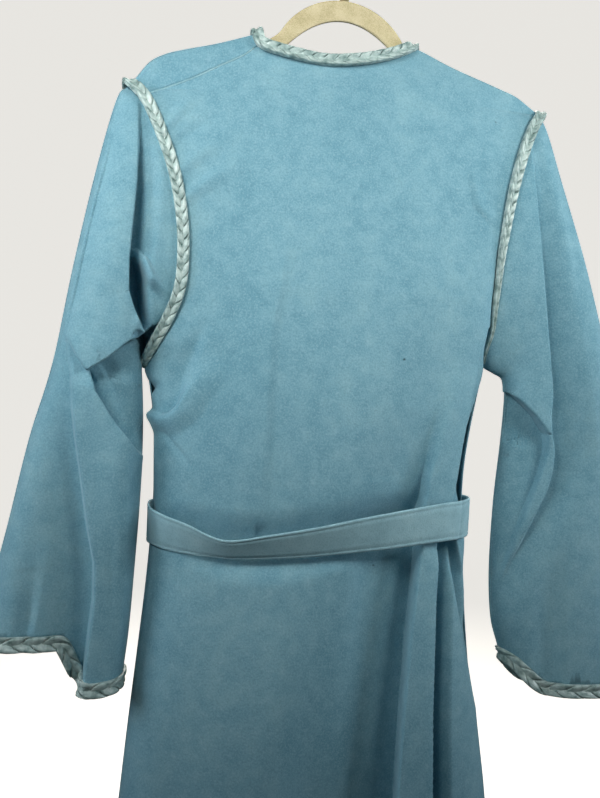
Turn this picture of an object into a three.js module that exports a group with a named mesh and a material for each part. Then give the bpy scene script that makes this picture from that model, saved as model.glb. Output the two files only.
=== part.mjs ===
// Wrap robe on a slim hanger: one back, two crossing fronts, two wide sleeves,
// plaited trim at the neck, armholes and cuffs, and a tied belt.
//
// Millimetres, +Z up. The origin is where the hook is held, at the top of its inside.
// +X runs along the shoulders, the back of the robe faces -Y and its fronts face +Y.
// Every cloth piece is a thin wall made from a grid of points on the robe's form.
import * as THREE from 'three';
import { RoundedBoxGeometry } from 'three/addons/geometries/RoundedBoxGeometry.js';

// ---- driving sizes ----
const CLOTH = 1.6; // thickness of the suede-finished cloth
const SEAM = 1.0; // each piece stops this far short of its seam line
const HEM_Z = -1430; // floor of the skirt, 1300 mm below the shoulder
const CHEST_Z = -400; // below this the shoulders no longer shape the cloth
const SHOULDER_CAP = 5; // radius of the cloth where it lies over the hanger
const WRAP_GAP = 5.2; // the right front lies this far outside the left one
const NECK_TRIM = { beltTop: -622, covered: -300 }; // where it ends on each front
const PLAIT = { width: 13, height: 7, sides: 6, stand: 0.9, ridgeStand: 2.9 };
const CUFF_PLAIT = { width: 16, height: 9, sides: 6, stand: 0.9 };
const BELT = { width: 42, thick: 3, stand: 3.4, frontStand: 1.5, steps: 44 };
const KNOT = { x: -18, z: -640, width: 46, height: 50, depth: 20, radius: 6, stand: 1.4, gap: 0.6 };
const HANGER = {
  thick: 4.4,
  arch: { z: -157, radius: 79, from: 30 }, // the high middle, down to this angle each side
  neck: { x: 92, z: -134.4 }, // where each arm begins
  tip: { x: 196, z: -168.9, height: 19 },
  under: { x: 92, z: -147.5, archX: 56, archZ: -127.5, crownZ: -100.7 },
};
const COLLAR = { radius: 5.2, topRadius: 4.3, top: -56, bottom: -77.6 };
const HOOK = {
  radius: 19.8, // of the wire's middle line
  wire: 1.8, // half its thickness
  foot: -55.6,
  bend: { x: 3.5, z: -43 }, // the shank leans out from here
  startAngle: -42,
  tipAngle: 185,
};

// How the cloth rounds: crown is the power of the body's cross-section, fall that of its
// slope below the shoulder, sleeve that of a sleeve's ring, and settle how fast the
// shoulder line's shape dies away in the rows of a panel.
const ROUNDING = { crown: 2.6, fall: 0.6, sleeve: 0.75, settle: 1.7 };
const HUG_RINGS = 2.6; // a sleeve has left the armhole's outline after this many rings
const FOLD_ROOM = 0.72; // share of a sleeve's depth that a fold may press in

// ---- how finely the grids are cut ----
const RING = 10; // steps from the top to the underarm along one side of an armhole
const SKIRT_ROWS = 12;
const SLEEVE_RINGS = 17;
const FRONT_COLUMNS = 10;
const BACK_COLUMNS = { shoulder: 5, neck: 7 };
const TRIM_STEPS = { armhole: 22, neck: 62 };

// ---- tables of the form: one row for each section, read by height z ----
// The two armholes: where the back and the fronts end, from shoulder tip to underarm.
const ARMHOLE = {
  left: [
    { z: -197, backX: -229, backY: 0, frontX: -229, frontY: 0 },
    { z: -201, backX: -225, backY: -7, frontX: -228, frontY: 7 },
    { z: -206, backX: -217, backY: -12, frontX: -225, frontY: 11 },
    { z: -220, backX: -206, backY: -18, frontX: -219, frontY: 15 },
    { z: -267, backX: -186, backY: -29, frontX: -203, frontY: 25 },
    { z: -300, backX: -176, backY: -34, frontX: -194, frontY: 30 },
    { z: -340, backX: -169, backY: -37, frontX: -187, frontY: 33 },
    { z: -374, backX: -167, backY: -38, frontX: -184, frontY: 34 },
    { z: -408, backX: -169, backY: -36, frontX: -184, frontY: 32 },
    { z: -438, backX: -179, backY: -29, frontX: -188, frontY: 26 },
    { z: -463, backX: -191, backY: -17, frontX: -193, frontY: 16 },
    { z: -481, backX: -199, backY: 0, frontX: -199, frontY: 0 },
  ],
  right: [
    { z: -181, backX: 236, backY: 0, frontX: 236, frontY: 0 },
    { z: -186, backX: 232, backY: -7, frontX: 234, frontY: 7 },
    { z: -195, backX: 223, backY: -13, frontX: 229, frontY: 12 },
    { z: -210, backX: 214, backY: -18, frontX: 222, frontY: 16 },
    { z: -247, backX: 199, backY: -26, frontX: 210, frontY: 22 },
    { z: -285, backX: 189, backY: -29, frontX: 201, frontY: 27 },
    { z: -319, backX: 183, backY: -29, frontX: 194, frontY: 31 },
    { z: -353, backX: 178, backY: -27, frontX: 188, frontY: 33 },
    { z: -381, backX: 176, backY: -24, frontX: 184, frontY: 32 },
    { z: -407, backX: 175, backY: -20, frontX: 180, frontY: 28 },
    { z: -430, backX: 176, backY: -13, frontX: 178, frontY: 20 },
    { z: -455, backX: 180, backY: 0, frontX: 180, frontY: 0 },
  ],
};

// How the trim lies on the armholes: turn is how far it faces away to the side in degrees,
// wide its share of the full width, lift and slip how far it stands off and aside.
const ARMHOLE_TRIM = {
  left: [
    { z: -197, turn: 0, wide: 1.0, lift: 3.7, slip: 0 },
    { z: -230, turn: 0, wide: 1.0, lift: 0.5, slip: 0 },
    { z: -300, turn: 0, wide: 1.0, lift: 0.3, slip: 0 },
    { z: -400, turn: 0, wide: 1.0, lift: 1.1, slip: 0 },
    { z: -440, turn: 0, wide: 0.75, lift: 2.5, slip: -1.5 },
    { z: -481, turn: 0, wide: 0.4, lift: 4.3, slip: -4 },
  ],
  right: [
    { z: -181, turn: 0, wide: 1.0, lift: 0.9, slip: 0 },
    { z: -247, turn: 14, wide: 1.0, lift: 0.7, slip: 0 },
    { z: -319, turn: 26, wide: 0.85, lift: 1.5, slip: 0 },
    { z: -380, turn: 32, wide: 0.6, lift: 2.7, slip: 1 },
    { z: -430, turn: 20, wide: 0.45, lift: 3.9, slip: 3 },
    { z: -455, turn: 0, wide: 0.4, lift: 5.3, slip: 4 },
  ],
};

// Side seams under the arms.
const SIDE = [
  { z: -455, left: -201, right: 180 },
  { z: -481, left: -199, right: 178 },
  { z: -508, left: -193, right: 174 },
  { z: -543, left: -188, right: 167 },
  { z: -585, left: -186, right: 161 },
  { z: -627, left: -185, right: 159 },
  { z: -674, left: -187, right: 161 },
  { z: -721, left: -190, right: 165 },
  { z: -780, left: -195, right: 171 },
  { z: -860, left: -202, right: 181 },
  { z: -950, left: -209, right: 194 },
  { z: -1180, left: -227, right: 218 },
  { z: -1430, left: -244, right: 242 },
];

// How deep the body stands behind and before the hanger, and how square it is at each side:
// 1 runs softly into the seam, 0.5 turns round it like an ellipse.
const BODY = [
  { z: -120, back: 40, front: 24, roundLeft: 1.0, roundRight: 1.0 },
  { z: -260, back: 43, front: 29, roundLeft: 1.0, roundRight: 0.9 },
  { z: -400, back: 47, front: 33, roundLeft: 0.9, roundRight: 0.5 },
  { z: -500, back: 54, front: 37, roundLeft: 0.55, roundRight: 0.45 },
  { z: -585, back: 57, front: 39, roundLeft: 0.48, roundRight: 0.45 },
  { z: -650, back: 56, front: 39, roundLeft: 0.48, roundRight: 0.45 },
  { z: -720, back: 60, front: 43, roundLeft: 0.48, roundRight: 0.45 },
  { z: -860, back: 73, front: 52, roundLeft: 0.48, roundRight: 0.45 },
  { z: -1100, back: 86, front: 62, roundLeft: 0.48, roundRight: 0.45 },
  { z: -1430, back: 102, front: 76, roundLeft: 0.48, roundRight: 0.45 },
];

// Top outline of the shoulders. Between the neck corners it is only the line that the
// cloth's depth is measured from.
const RIDGE = [
  { x: -229, z: -197 },
  { x: -221, z: -187 },
  { x: -207, z: -168 },
  { x: -192, z: -158 },
  { x: -176, z: -152 },
  { x: -139, z: -141 },
  { x: -95, z: -126 },
  { x: 0, z: -98 },
  { x: 83, z: -122 },
  { x: 113, z: -133 },
  { x: 149, z: -145 },
  { x: 186, z: -156 },
  { x: 204, z: -162 },
  { x: 221, z: -172 },
  { x: 236, z: -181 },
];

// Top edge of the back: the left shoulder seam, which has slipped behind the ridge,
// the neck, and the right shoulder seam, which lies on the ridge.
const NECK = { leftX: -95, rightX: 83 };
const BACK_TOP = [
  { x: -215, z: -209 },
  { x: -191, z: -197 },
  { x: -165, z: -185 },
  { x: -140, z: -171 },
  { x: -110, z: -154 },
  { x: NECK.leftX, z: -143 },
  { x: -77, z: -146 },
  { x: -49, z: -151 },
  { x: -17, z: -153 },
  { x: 17, z: -148 },
  { x: 51, z: -137 },
  { x: NECK.rightX, z: -123 },
  { x: 113, z: -133 },
  { x: 149, z: -145 },
  { x: 186, z: -156 },
  { x: 204, z: -162 },
  { x: 221, z: -172 },
  { x: 236, z: -181 },
];

// Free edge of each front, from the neck down. The right front crosses over the left.
const FRONT_EDGE = [
  { z: -120, left: -95, right: 83 },
  { z: -160, left: -88, right: 78 },
  { z: -220, left: -68, right: 58 },
  { z: -330, left: -16, right: 6 },
  { z: -480, left: 42, right: -52 },
  { z: -620, left: 78, right: -88 },
  { z: -700, left: 84, right: -94 },
  { z: -900, left: 92, right: -102 },
  { z: -1430, left: 112, right: -122 },
];

// Folds: lines on the cloth seen flat from the back (or front), travelled upwards or to +X.
// depth is outwards; left and right say how far the fold reaches to each side of its line.
const BACK_FOLDS = [
  [ // valley beside the long pleat
    { x: 72, z: -1430, depth: -30, left: 110, right: 9 },
    { x: 75, z: -929, depth: -30, left: 105, right: 8 },
    { x: 79, z: -763, depth: -24, left: 95, right: 8 },
    { x: 85, z: -660, depth: -13, left: 85, right: 8 },
    { x: 91, z: -563, depth: -9, left: 75, right: 10 },
    { x: 96, z: -450, depth: 0, left: 70, right: 20 },
  ],
  [ // the pleat's other edge, deep under the arm and again in the skirt
    { x: 104, z: -1430, depth: -30, left: 7, right: 26 },
    { x: 104, z: -923, depth: -28, left: 7, right: 22 },
    { x: 110, z: -720, depth: -24, left: 6, right: 20 },
    { x: 113, z: -663, depth: -18, left: 6, right: 30 },
    { x: 136, z: -590, depth: -18, left: 7, right: 40 },
    { x: 150, z: -541, depth: -12, left: 7, right: 30 },
    { x: 166, z: -490, depth: 0, left: 8, right: 16 },
  ],
  [ // soft valley down the middle of the skirt
    { x: -34, z: -1430, depth: -24, left: 70, right: 60 },
    { x: -26, z: -930, depth: -10, left: 60, right: 50 },
    { x: -20, z: -690, depth: 0, left: 50, right: 50 },
  ],
  [ // soft valley near the left side seam
    { x: -170, z: -1430, depth: -20, left: 42, right: 60 },
    { x: -160, z: -930, depth: -5, left: 36, right: 50 },
    { x: -150, z: -760, depth: 0, left: 30, right: 40 },
  ],
];
const FRONT_FOLDS = [
  [
    { x: -165, z: -1430, depth: -20, left: 50, right: 60 },
    { x: -140, z: -690, depth: 0, left: 40, right: 40 },
  ],
  [
    { x: 10, z: -1430, depth: -16, left: 80, right: 80 },
    { x: 0, z: -720, depth: 0, left: 60, right: 60 },
  ],
  [
    { x: 176, z: -1430, depth: -20, left: 50, right: 50 },
    { x: 140, z: -690, depth: 0, left: 34, right: 34 },
  ],
];

// Sleeves: one row for each ring from armhole to cuff. top and under are the ring's two
// ends, near and far its depths to -Y and +Y, sag how far its near side hangs below.
const SLEEVE = {
  left: [
    { topX: -229, topZ: -197, underX: -199, underZ: -481, y: 0, near: 37, far: 34, sag: 0 },
    { topX: -239, topZ: -212, underX: -208, underZ: -489, y: 0, near: 42, far: 33, sag: 0 },
    { topX: -256, topZ: -285, underX: -211, underZ: -503, y: -2, near: 48, far: 32, sag: 0 },
    { topX: -275, topZ: -385, underX: -208, underZ: -536, y: -3, near: 50, far: 32, sag: 0 },
    { topX: -292, topZ: -487, underX: -205, underZ: -582, y: -4, near: 48, far: 32, sag: 0 },
    { topX: -312, topZ: -565, underX: -204, underZ: -636, y: -4, near: 48, far: 32, sag: 0 },
    { topX: -330, topZ: -655, underX: -206, underZ: -704, y: -4, near: 48, far: 32, sag: 2 },
    { topX: -344, topZ: -718, underX: -209, underZ: -760, y: -4, near: 50, far: 34, sag: 3 },
    { topX: -352, topZ: -756, underX: -210, underZ: -801, y: -4, near: 52, far: 34, sag: 4 },
  ],
  right: [
    { topX: 236, topZ: -181, underX: 180, underZ: -455, y: 0, near: 33, far: 32, sag: 0 },
    { topX: 244, topZ: -203, underX: 190, underZ: -464, y: 0, near: 34, far: 31, sag: 0 },
    { topX: 261, topZ: -258, underX: 199, underZ: -474, y: 0, near: 36, far: 28, sag: 0 },
    { topX: 292, topZ: -352, underX: 204, underZ: -498, y: 0, near: 38, far: 27, sag: 0 },
    { topX: 329, topZ: -465, underX: 201, underZ: -552, y: 0, near: 38, far: 28, sag: 0 },
    { topX: 366, topZ: -575, underX: 196, underZ: -625, y: 0, near: 36, far: 30, sag: 0 },
    { topX: 401, topZ: -685, underX: 195, underZ: -700, y: 0, near: 36, far: 30, sag: 2 },
    { topX: 430, topZ: -768, underX: 202, underZ: -754, y: 0, near: 36, far: 30, sag: 3 },
    { topX: 446, topZ: -820, underX: 212, underZ: -788, y: 0, near: 36, far: 30, sag: 3 },
  ],
};
// Each cuff hangs in two levels. The step between them lies in this share of its width,
// counted from the outer end to the inner one.
const CUFF_STEP = {
  left: { from: 0.56, to: 0.78 },
  right: { from: 0.78, to: 1.0 },
};
const SLEEVE_FOLDS = {
  left: [
    [ // hollow between the armhole and the hanging cloth
      { x: -203, z: -450, depth: -8, left: 8, right: 30 },
      { x: -218, z: -425, depth: -24, left: 6, right: 40 },
      { x: -220, z: -364, depth: -26, left: 6, right: 44 },
      { x: -217, z: -310, depth: -20, left: 6, right: 40 },
      { x: -214, z: -258, depth: 0, left: 8, right: 30 },
    ],
    [ // hollow under the elbow's overhanging lip
      { x: -276, z: -474, depth: -4, left: 6, right: 14 },
      { x: -258, z: -490, depth: -18, left: 6, right: 20 },
      { x: -240, z: -480, depth: -22, left: 6, right: 50 },
      { x: -221, z: -463, depth: -22, left: 6, right: 90 },
      { x: -203, z: -447, depth: -12, left: 6, right: 110 },
    ],
    [ // outer half of the lower sleeve, turned away behind its long fold
      { x: -253, z: -800, depth: -30, left: 90, right: 8 },
      { x: -250, z: -700, depth: -26, left: 80, right: 8 },
      { x: -260, z: -606, depth: -20, left: 60, right: 7 },
      { x: -271, z: -537, depth: -12, left: 40, right: 6 },
      { x: -279, z: -470, depth: -4, left: 20, right: 5 },
    ],
  ],
  right: [
    [ // outer half of the sleeve, behind its long straight fold
      { x: 256, z: -554, depth: -15, left: 6, right: 44 },
      { x: 240, z: -434, depth: -16, left: 5, right: 40 },
      { x: 226, z: -311, depth: -12, left: 5, right: 32 },
      { x: 217, z: -203, depth: -3, left: 5, right: 14 },
    ],
    [ // hollow under the upper sleeve's lower edge
      { x: 178, z: -474, depth: -14, left: 6, right: 60 },
      { x: 209, z: -499, depth: -24, left: 6, right: 110 },
      { x: 235, z: -523, depth: -22, left: 6, right: 120 },
      { x: 252, z: -552, depth: -8, left: 6, right: 60 },
    ],
    [ // slanting fold below the elbow
      { x: 194, z: -734, depth: -4, left: 30, right: 6 },
      { x: 214, z: -675, depth: -16, left: 40, right: 6 },
      { x: 245, z: -601, depth: -18, left: 50, right: 6 },
      { x: 256, z: -556, depth: -6, left: 30, right: 6 },
    ],
  ],
};

// The belt: height of its lower edge and how far its face leans out, from the right side
// round the back to the left side and on over the fronts. turn runs round the body.
const BELT_LINE = [
  { turn: 0, z: -658, lean: 0 },
  { turn: 25, z: -660, lean: 8 },
  { turn: 55, z: -664, lean: 20 },
  { turn: 80, z: -672, lean: 34 },
  { turn: 100, z: -677, lean: 46 },
  { turn: 122, z: -679, lean: 54 },
  { turn: 145, z: -676, lean: 34 },
  { turn: 165, z: -672, lean: 10 },
  { turn: 180, z: -671, lean: 0 },
  { turn: 225, z: -668, lean: 0 },
  { turn: 270, z: -664, lean: 0 },
  { turn: 315, z: -661, lean: 0 },
  { turn: 360, z: -658, lean: 0 },
];
const BELT_ENDS = [
  { name: 'belt_end_left', x: -30, width: 38, drop: 330, sway: -26, stand: 2.6 },
  { name: 'belt_end_right', x: -4, width: 38, drop: 300, sway: 18, stand: 8.1 },
];

// ---- small helpers ----
const mix = (a, b, t) => a + (b - a) * t;
const clamp = (v, low, high) => Math.min(Math.max(v, low), high);
const smooth = (t) => t * t * (3 - 2 * t);
const smoothBetween = (v, from, to) => smooth(clamp((v - from) / (to - from), 0, 1));
const radians = (degrees) => (degrees * Math.PI) / 180;
const vec = (x, y, z) => new THREE.Vector3(x, y, z);

// Steps from 0 to 1: even, or closer together at the start with a power above 1.
const steps = (count, power = 1) => (
  Array.from({ length: count + 1 }, (_, i) => (i / count) ** power)
);

// A smooth function of one column of a table, through its rows in order of another column.
function reader(table, by, column) {
  const rows = [...table].sort((a, b) => a[by] - b[by]);
  const at = rows.map((r) => r[by]);
  const value = rows.map((r) => r[column]);
  const last = rows.length - 1;
  const slope = value.map((_, i) => {
    const a = Math.max(i - 1, 0);
    const b = Math.min(i + 1, last);
    return (value[b] - value[a]) / (at[b] - at[a]);
  });
  return (where) => {
    const v = clamp(where, at[0], at[last]);
    let i = 0;
    while (i < last - 1 && v > at[i + 1]) i += 1;
    const span = at[i + 1] - at[i];
    const t = (v - at[i]) / span;
    const start = t * (1 - t) * (1 - t) * span;
    const end = t * t * (t - 1) * span;
    return mix(value[i], value[i + 1], smooth(t)) + slope[i] * start + slope[i + 1] * end;
  };
}

// One reader for each of several columns.
function readers(table, by, columns) {
  return Object.fromEntries(columns.map((column) => [column, reader(table, by, column)]));
}

// How far the folds push a point of the cloth outwards, seen flat at (x, z).
function foldShift(folds, x, z) {
  let total = 0;
  for (const rows of folds) {
    let best = null;
    for (let i = 0; i < rows.length - 1; i += 1) {
      const a = rows[i];
      const b = rows[i + 1];
      const dx = b.x - a.x;
      const dz = b.z - a.z;
      const t = clamp(((x - a.x) * dx + (z - a.z) * dz) / (dx * dx + dz * dz), 0, 1);
      const away = Math.hypot(x - a.x - dx * t, z - a.z - dz * t);
      const side = dx * (z - a.z) - dz * (x - a.x) > 0 ? 'left' : 'right';
      if (!best || away < best.away) {
        best = { away, depth: mix(a.depth, b.depth, t), reach: mix(a[side], b[side], t) };
      }
    }
    total += best.depth * (1 - smoothBetween(best.away, 0, best.reach));
  }
  return total;
}

// ---- the body's form ----
const armhole = {};
for (const side of ['left', 'right']) {
  armhole[side] = {
    tip: ARMHOLE[side][0].z,
    under: ARMHOLE[side].at(-1).z,
    ...readers(ARMHOLE[side], 'z', ['backX', 'backY', 'frontX', 'frontY']),
    ...readers(ARMHOLE_TRIM[side], 'z', ['turn', 'wide', 'lift', 'slip']),
  };
}
const sideX = readers(SIDE, 'z', ['left', 'right']);
const bodyAt = readers(BODY, 'z', ['back', 'front', 'roundLeft', 'roundRight']);
const frontEdgeX = readers(FRONT_EDGE, 'z', ['left', 'right']);
const ridgeZ = reader(RIDGE, 'x', 'z');
const backTopZ = reader(BACK_TOP, 'x', 'z');

// Where a face of the body ends at one side, at height z: the armhole or the side seam.
function edgeOf(side, face, z) {
  const hole = armhole[side];
  if (z < hole.under) return { x: sideX[side](z), y: 0 };
  return { x: hole[`${face}X`](z), y: hole[`${face}Y`](z) };
}

// Depth of a face of the body at (x, z): negative behind, positive before.
function faceY(face, x, z) {
  const l = edgeOf('left', face, z);
  const r = edgeOf('right', face, z);
  const f = clamp((x - l.x) / (r.x - l.x), 0, 1);
  const across = Math.abs(2 * f - 1);
  const round = f < 0.5 ? bodyAt.roundLeft(z) : bodyAt.roundRight(z);
  const crown = Math.max(1 - across ** ROUNDING.crown, 0) ** round;
  const below = Math.max(ridgeZ(x) - z, 0);
  const fall = Math.min(below / (ridgeZ(x) - CHEST_Z), 1) ** ROUNDING.fall;
  const overHanger = Math.min(below / SHOULDER_CAP, 1);
  const cap = SHOULDER_CAP * Math.sqrt(overHanger * (2 - overHanger) * crown);
  const seam = mix(l.y, r.y, f);
  const depth = Math.max(bodyAt[face](z) * fall - Math.abs(seam), 0);
  return seam + (face === 'back' ? -1 : 1) * (depth * crown + cap);
}

// ---- grids of points, and the walls made from them ----
// The normals of a grid, which is a list of rows. In a ring the last column meets the first.
function normalsOf(grid, ring) {
  const rows = grid.length;
  const cols = grid[0].length;
  return grid.map((row, i) => row.map((_, j) => {
    const up = grid[Math.max(i - 1, 0)][j];
    const down = grid[Math.min(i + 1, rows - 1)][j];
    const before = ring ? row[(j + cols - 1) % cols] : row[Math.max(j - 1, 0)];
    const after = ring ? row[(j + 1) % cols] : row[Math.min(j + 1, cols - 1)];
    return after.clone().sub(before).cross(down.clone().sub(up)).normalize();
  }));
}

// The same normals turned so that the last one faces the given side of the hanger.
function normalsFacing(grid, side) {
  const normals = normalsOf(grid, false);
  const turn = normals.at(-1).at(-1).y * side < 0 ? -1 : 1;
  return normals.map((row) => row.map((n) => n.clone().multiplyScalar(turn)));
}

// Points of a grid moved along its normals, in one flat list.
function offsetPoints(grid, normals, distance) {
  return grid.flatMap((row, i) => row.map((p, j) => (
    p.clone().addScaledVector(normals[i][j], distance)
  )));
}

// Closed wall of even thickness round a grid.
function wallGeometry(grid, thick, ring = false) {
  const normals = normalsOf(grid, ring);
  const points = [
    ...offsetPoints(grid, normals, thick / 2),
    ...offsetPoints(grid, normals, -thick / 2),
  ];
  const rows = grid.length;
  const cols = grid[0].length;
  const outer = (i, j) => i * cols + (j % cols);
  const inner = (i, j) => rows * cols + outer(i, j);
  const faces = [];
  const quad = (a, b, c, d) => faces.push(a, b, c, a, c, d);
  const lastRow = rows - 1;
  const lastCol = ring ? cols : cols - 1;
  for (let i = 0; i < lastRow; i += 1) {
    for (let j = 0; j < lastCol; j += 1) {
      quad(outer(i, j), outer(i, j + 1), outer(i + 1, j + 1), outer(i + 1, j));
      quad(inner(i, j), inner(i + 1, j), inner(i + 1, j + 1), inner(i, j + 1));
    }
    if (!ring) {
      quad(outer(i, 0), outer(i + 1, 0), inner(i + 1, 0), inner(i, 0));
      quad(outer(i, lastCol), inner(i, lastCol), inner(i + 1, lastCol), outer(i + 1, lastCol));
    }
  }
  for (let j = 0; j < lastCol; j += 1) {
    quad(outer(0, j), inner(0, j), inner(0, j + 1), outer(0, j + 1));
    quad(outer(lastRow, j), outer(lastRow, j + 1), inner(lastRow, j + 1), inner(lastRow, j));
  }
  return closedGeometry(points, faces);
}

// A closed mesh from points and triangles, turned so that its faces point out.
function closedGeometry(points, faces) {
  let volume = 0;
  for (let k = 0; k < faces.length; k += 3) {
    const [a, b, c] = faces.slice(k, k + 3).map((index) => points[index]);
    volume += a.dot(b.clone().cross(c));
  }
  const geometry = new THREE.BufferGeometry().setFromPoints(points);
  geometry.setIndex(volume < 0 ? [...faces].reverse() : faces);
  geometry.computeVertexNormals();
  return geometry;
}

// Solid bar of oval section along points, with its flat side turned to the normals.
// shareAt gives the share of its full width at each point.
function plaitGeometry(points, normals, size, ring, shareAt = () => 1) {
  const count = points.length;
  const all = [];
  points.forEach((p, i) => {
    const before = ring ? points[(i + count - 1) % count] : points[Math.max(i - 1, 0)];
    const after = ring ? points[(i + 1) % count] : points[Math.min(i + 1, count - 1)];
    const along = after.clone().sub(before).normalize();
    const out = normals[i].clone().addScaledVector(along, -normals[i].dot(along)).normalize();
    const across = along.clone().cross(out);
    const halfWidth = (size.width * shareAt(i)) / 2;
    const halfHeight = (size.height * Math.sqrt(shareAt(i))) / 2;
    for (let k = 0; k < size.sides; k += 1) {
      const a = (2 * Math.PI * k) / size.sides;
      all.push(p.clone()
        .addScaledVector(across, Math.cos(a) * halfWidth)
        .addScaledVector(out, Math.sin(a) * halfHeight));
    }
  });
  const faces = [];
  const at = (i, k) => (i % count) * size.sides + (k % size.sides);
  for (let i = 0; i < (ring ? count : count - 1); i += 1) {
    for (let k = 0; k < size.sides; k += 1) {
      faces.push(at(i, k), at(i, k + 1), at(i + 1, k + 1));
      faces.push(at(i, k), at(i + 1, k + 1), at(i + 1, k));
    }
  }
  for (let k = 1; !ring && k < size.sides - 1; k += 1) {
    faces.push(at(0, 0), at(0, k + 1), at(0, k));
    faces.push(at(count - 1, 0), at(count - 1, k), at(count - 1, k + 1));
  }
  return closedGeometry(all, faces);
}

// ---- the panels ----
// Share of the way from an armhole's tip to its underarm at a step of its ring.
const ringShare = (step) => (1 - Math.cos((Math.PI * step) / RING)) / 2;

// Share of the shoulder line's shape that is left in a row of a panel.
const settled = (row) => Math.max(1 - row / (RING + 2), 0) ** ROUNDING.settle;

// Heights of the rows at one side, from the shoulder through the underarm to the hem.
// Those beside the armhole match the rings of the sleeve.
function sideHeights(side, top = armhole[side].tip) {
  const { tip, under } = armhole[side];
  const upper = steps(RING).map((_, i) => mix(tip, under, ringShare(i)));
  if (top !== tip) {
    upper[0] = top;
    upper[1] = (top + upper[2]) / 2;
  }
  const lower = steps(SKIRT_ROWS, 1.15).slice(1).map((t) => mix(under, HEM_Z, t));
  return [...upper, ...lower];
}

// Columns across the back: close together at both sides, with one at each neck corner.
function backColumns() {
  const first = BACK_TOP[0].x;
  const width = BACK_TOP.at(-1).x - first;
  const left = (NECK.leftX - first) / width;
  const right = (NECK.rightX - first) / width;
  const eased = steps(BACK_COLUMNS.shoulder).map((t) => 1 - Math.cos((t * Math.PI) / 2));
  return [
    ...eased.map((t) => left * t),
    ...steps(BACK_COLUMNS.neck).slice(1).map((t) => mix(left, right, t)),
    ...eased.slice(0, -1).reverse().map((t) => 1 - (1 - right) * t),
  ];
}

// A seam point of a panel. Beside an armhole it stops short of the sleeve, and at the side
// seam below it the back and the fronts stop short of each other.
function seamPoint(side, face, z) {
  const { x, y } = edgeOf(side, face, z);
  const { under } = armhole[side];
  const inset = side === 'left' ? SEAM : -SEAM;
  const apart = face === 'back' ? -SEAM : SEAM;
  if (z > under) return vec(x + inset, y, z);
  return vec(z < under ? x : x + inset, apart, z);
}

function backGrid() {
  const leftZ = sideHeights('left', BACK_TOP[0].z);
  const rightZ = sideHeights('right');
  const columns = backColumns();
  const rise = columns.map((f) => {
    const x = mix(BACK_TOP[0].x, BACK_TOP.at(-1).x, f);
    return backTopZ(x) - mix(leftZ[0], rightZ[0], f);
  });
  const grid = leftZ.map((zl, i) => {
    const left = seamPoint('left', 'back', zl);
    const right = seamPoint('right', 'back', rightZ[i]);
    const row = columns.map((f, j) => {
      const x = mix(left.x, right.x, f);
      const z = mix(zl, rightZ[i], f) + rise[j] * settled(i) - (i === 0 ? SEAM : 0);
      return vec(x, faceY('back', x, z), z);
    });
    return i === 0 ? row : [left, ...row.slice(1, -1), right];
  });
  return folded(grid, BACK_FOLDS, -1);
}

// A front, from its armhole and side seam to its free edge. layer lifts it off the other
// front, in full from where that one begins.
function frontGrid(side, layer) {
  const columns = steps(FRONT_COLUMNS).map((t) => mix(t, 1 - Math.cos((t * Math.PI) / 2), 0.55));
  const neck = { x: FRONT_EDGE[0][side], z: ridgeZ(FRONT_EDGE[0][side]) };
  const { tip } = armhole[side];
  const tipX = edgeOf(side, 'front', tip).x;
  const rise = columns.map((f) => ridgeZ(mix(tipX, neck.x, f)) - mix(tip, neck.z, f));
  const rows = sideHeights(side).map((zs, i) => {
    const seam = seamPoint(side, 'front', zs);
    const edgeZ = mix(neck.z, HEM_Z, (tip - zs) / (tip - HEM_Z));
    const inset = i === 0 && side === 'right' ? SEAM : 0;
    const row = columns.map((f, j) => {
      const x = mix(seam.x, frontEdgeX[side](edgeZ), f);
      const z = mix(zs, edgeZ, f) + rise[j] * settled(i) - inset;
      const lift = layer * (1 - smoothBetween(x, frontEdgeX.left(z) + 12, seam.x));
      return vec(x, faceY('front', x, z) + lift, z);
    });
    return i === 0 ? row : [seam, ...row.slice(1)];
  });
  const whole = side === 'left' ? [...overShoulder(rows[0], columns), ...rows] : rows;
  return folded(whole, FRONT_FOLDS, 1);
}

// The left front runs over the ridge of the shoulder to the seam behind it.
function overShoulder(ridgeRow, columns) {
  return [0, 0.4, 0.75, 0.93].map((t) => ridgeRow.map((p, j) => {
    const seamX = mix(BACK_TOP[0].x, NECK.leftX, columns[j]);
    const x = mix(seamX, p.x, t);
    const z = mix(backTopZ(seamX) + SEAM, p.z, t);
    return vec(x, faceY('back', x, z), z);
  }));
}

// Pushes a panel in and out by its folds, level, on the given side of the hanger.
function folded(grid, folds, side) {
  const normals = normalsOf(grid, false);
  return grid.map((row, i) => row.map((p, j) => {
    const out = normals[i][j].clone().setZ(0).normalize();
    const turn = out.y * side < 0 ? -1 : 1;
    return p.clone().addScaledVector(out, turn * foldShift(folds, p.x, p.z));
  }));
}

// ---- the sleeves ----
const SLEEVE_COLUMNS = ['topX', 'topZ', 'underX', 'underZ', 'y', 'near', 'far', 'sag'];

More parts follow.
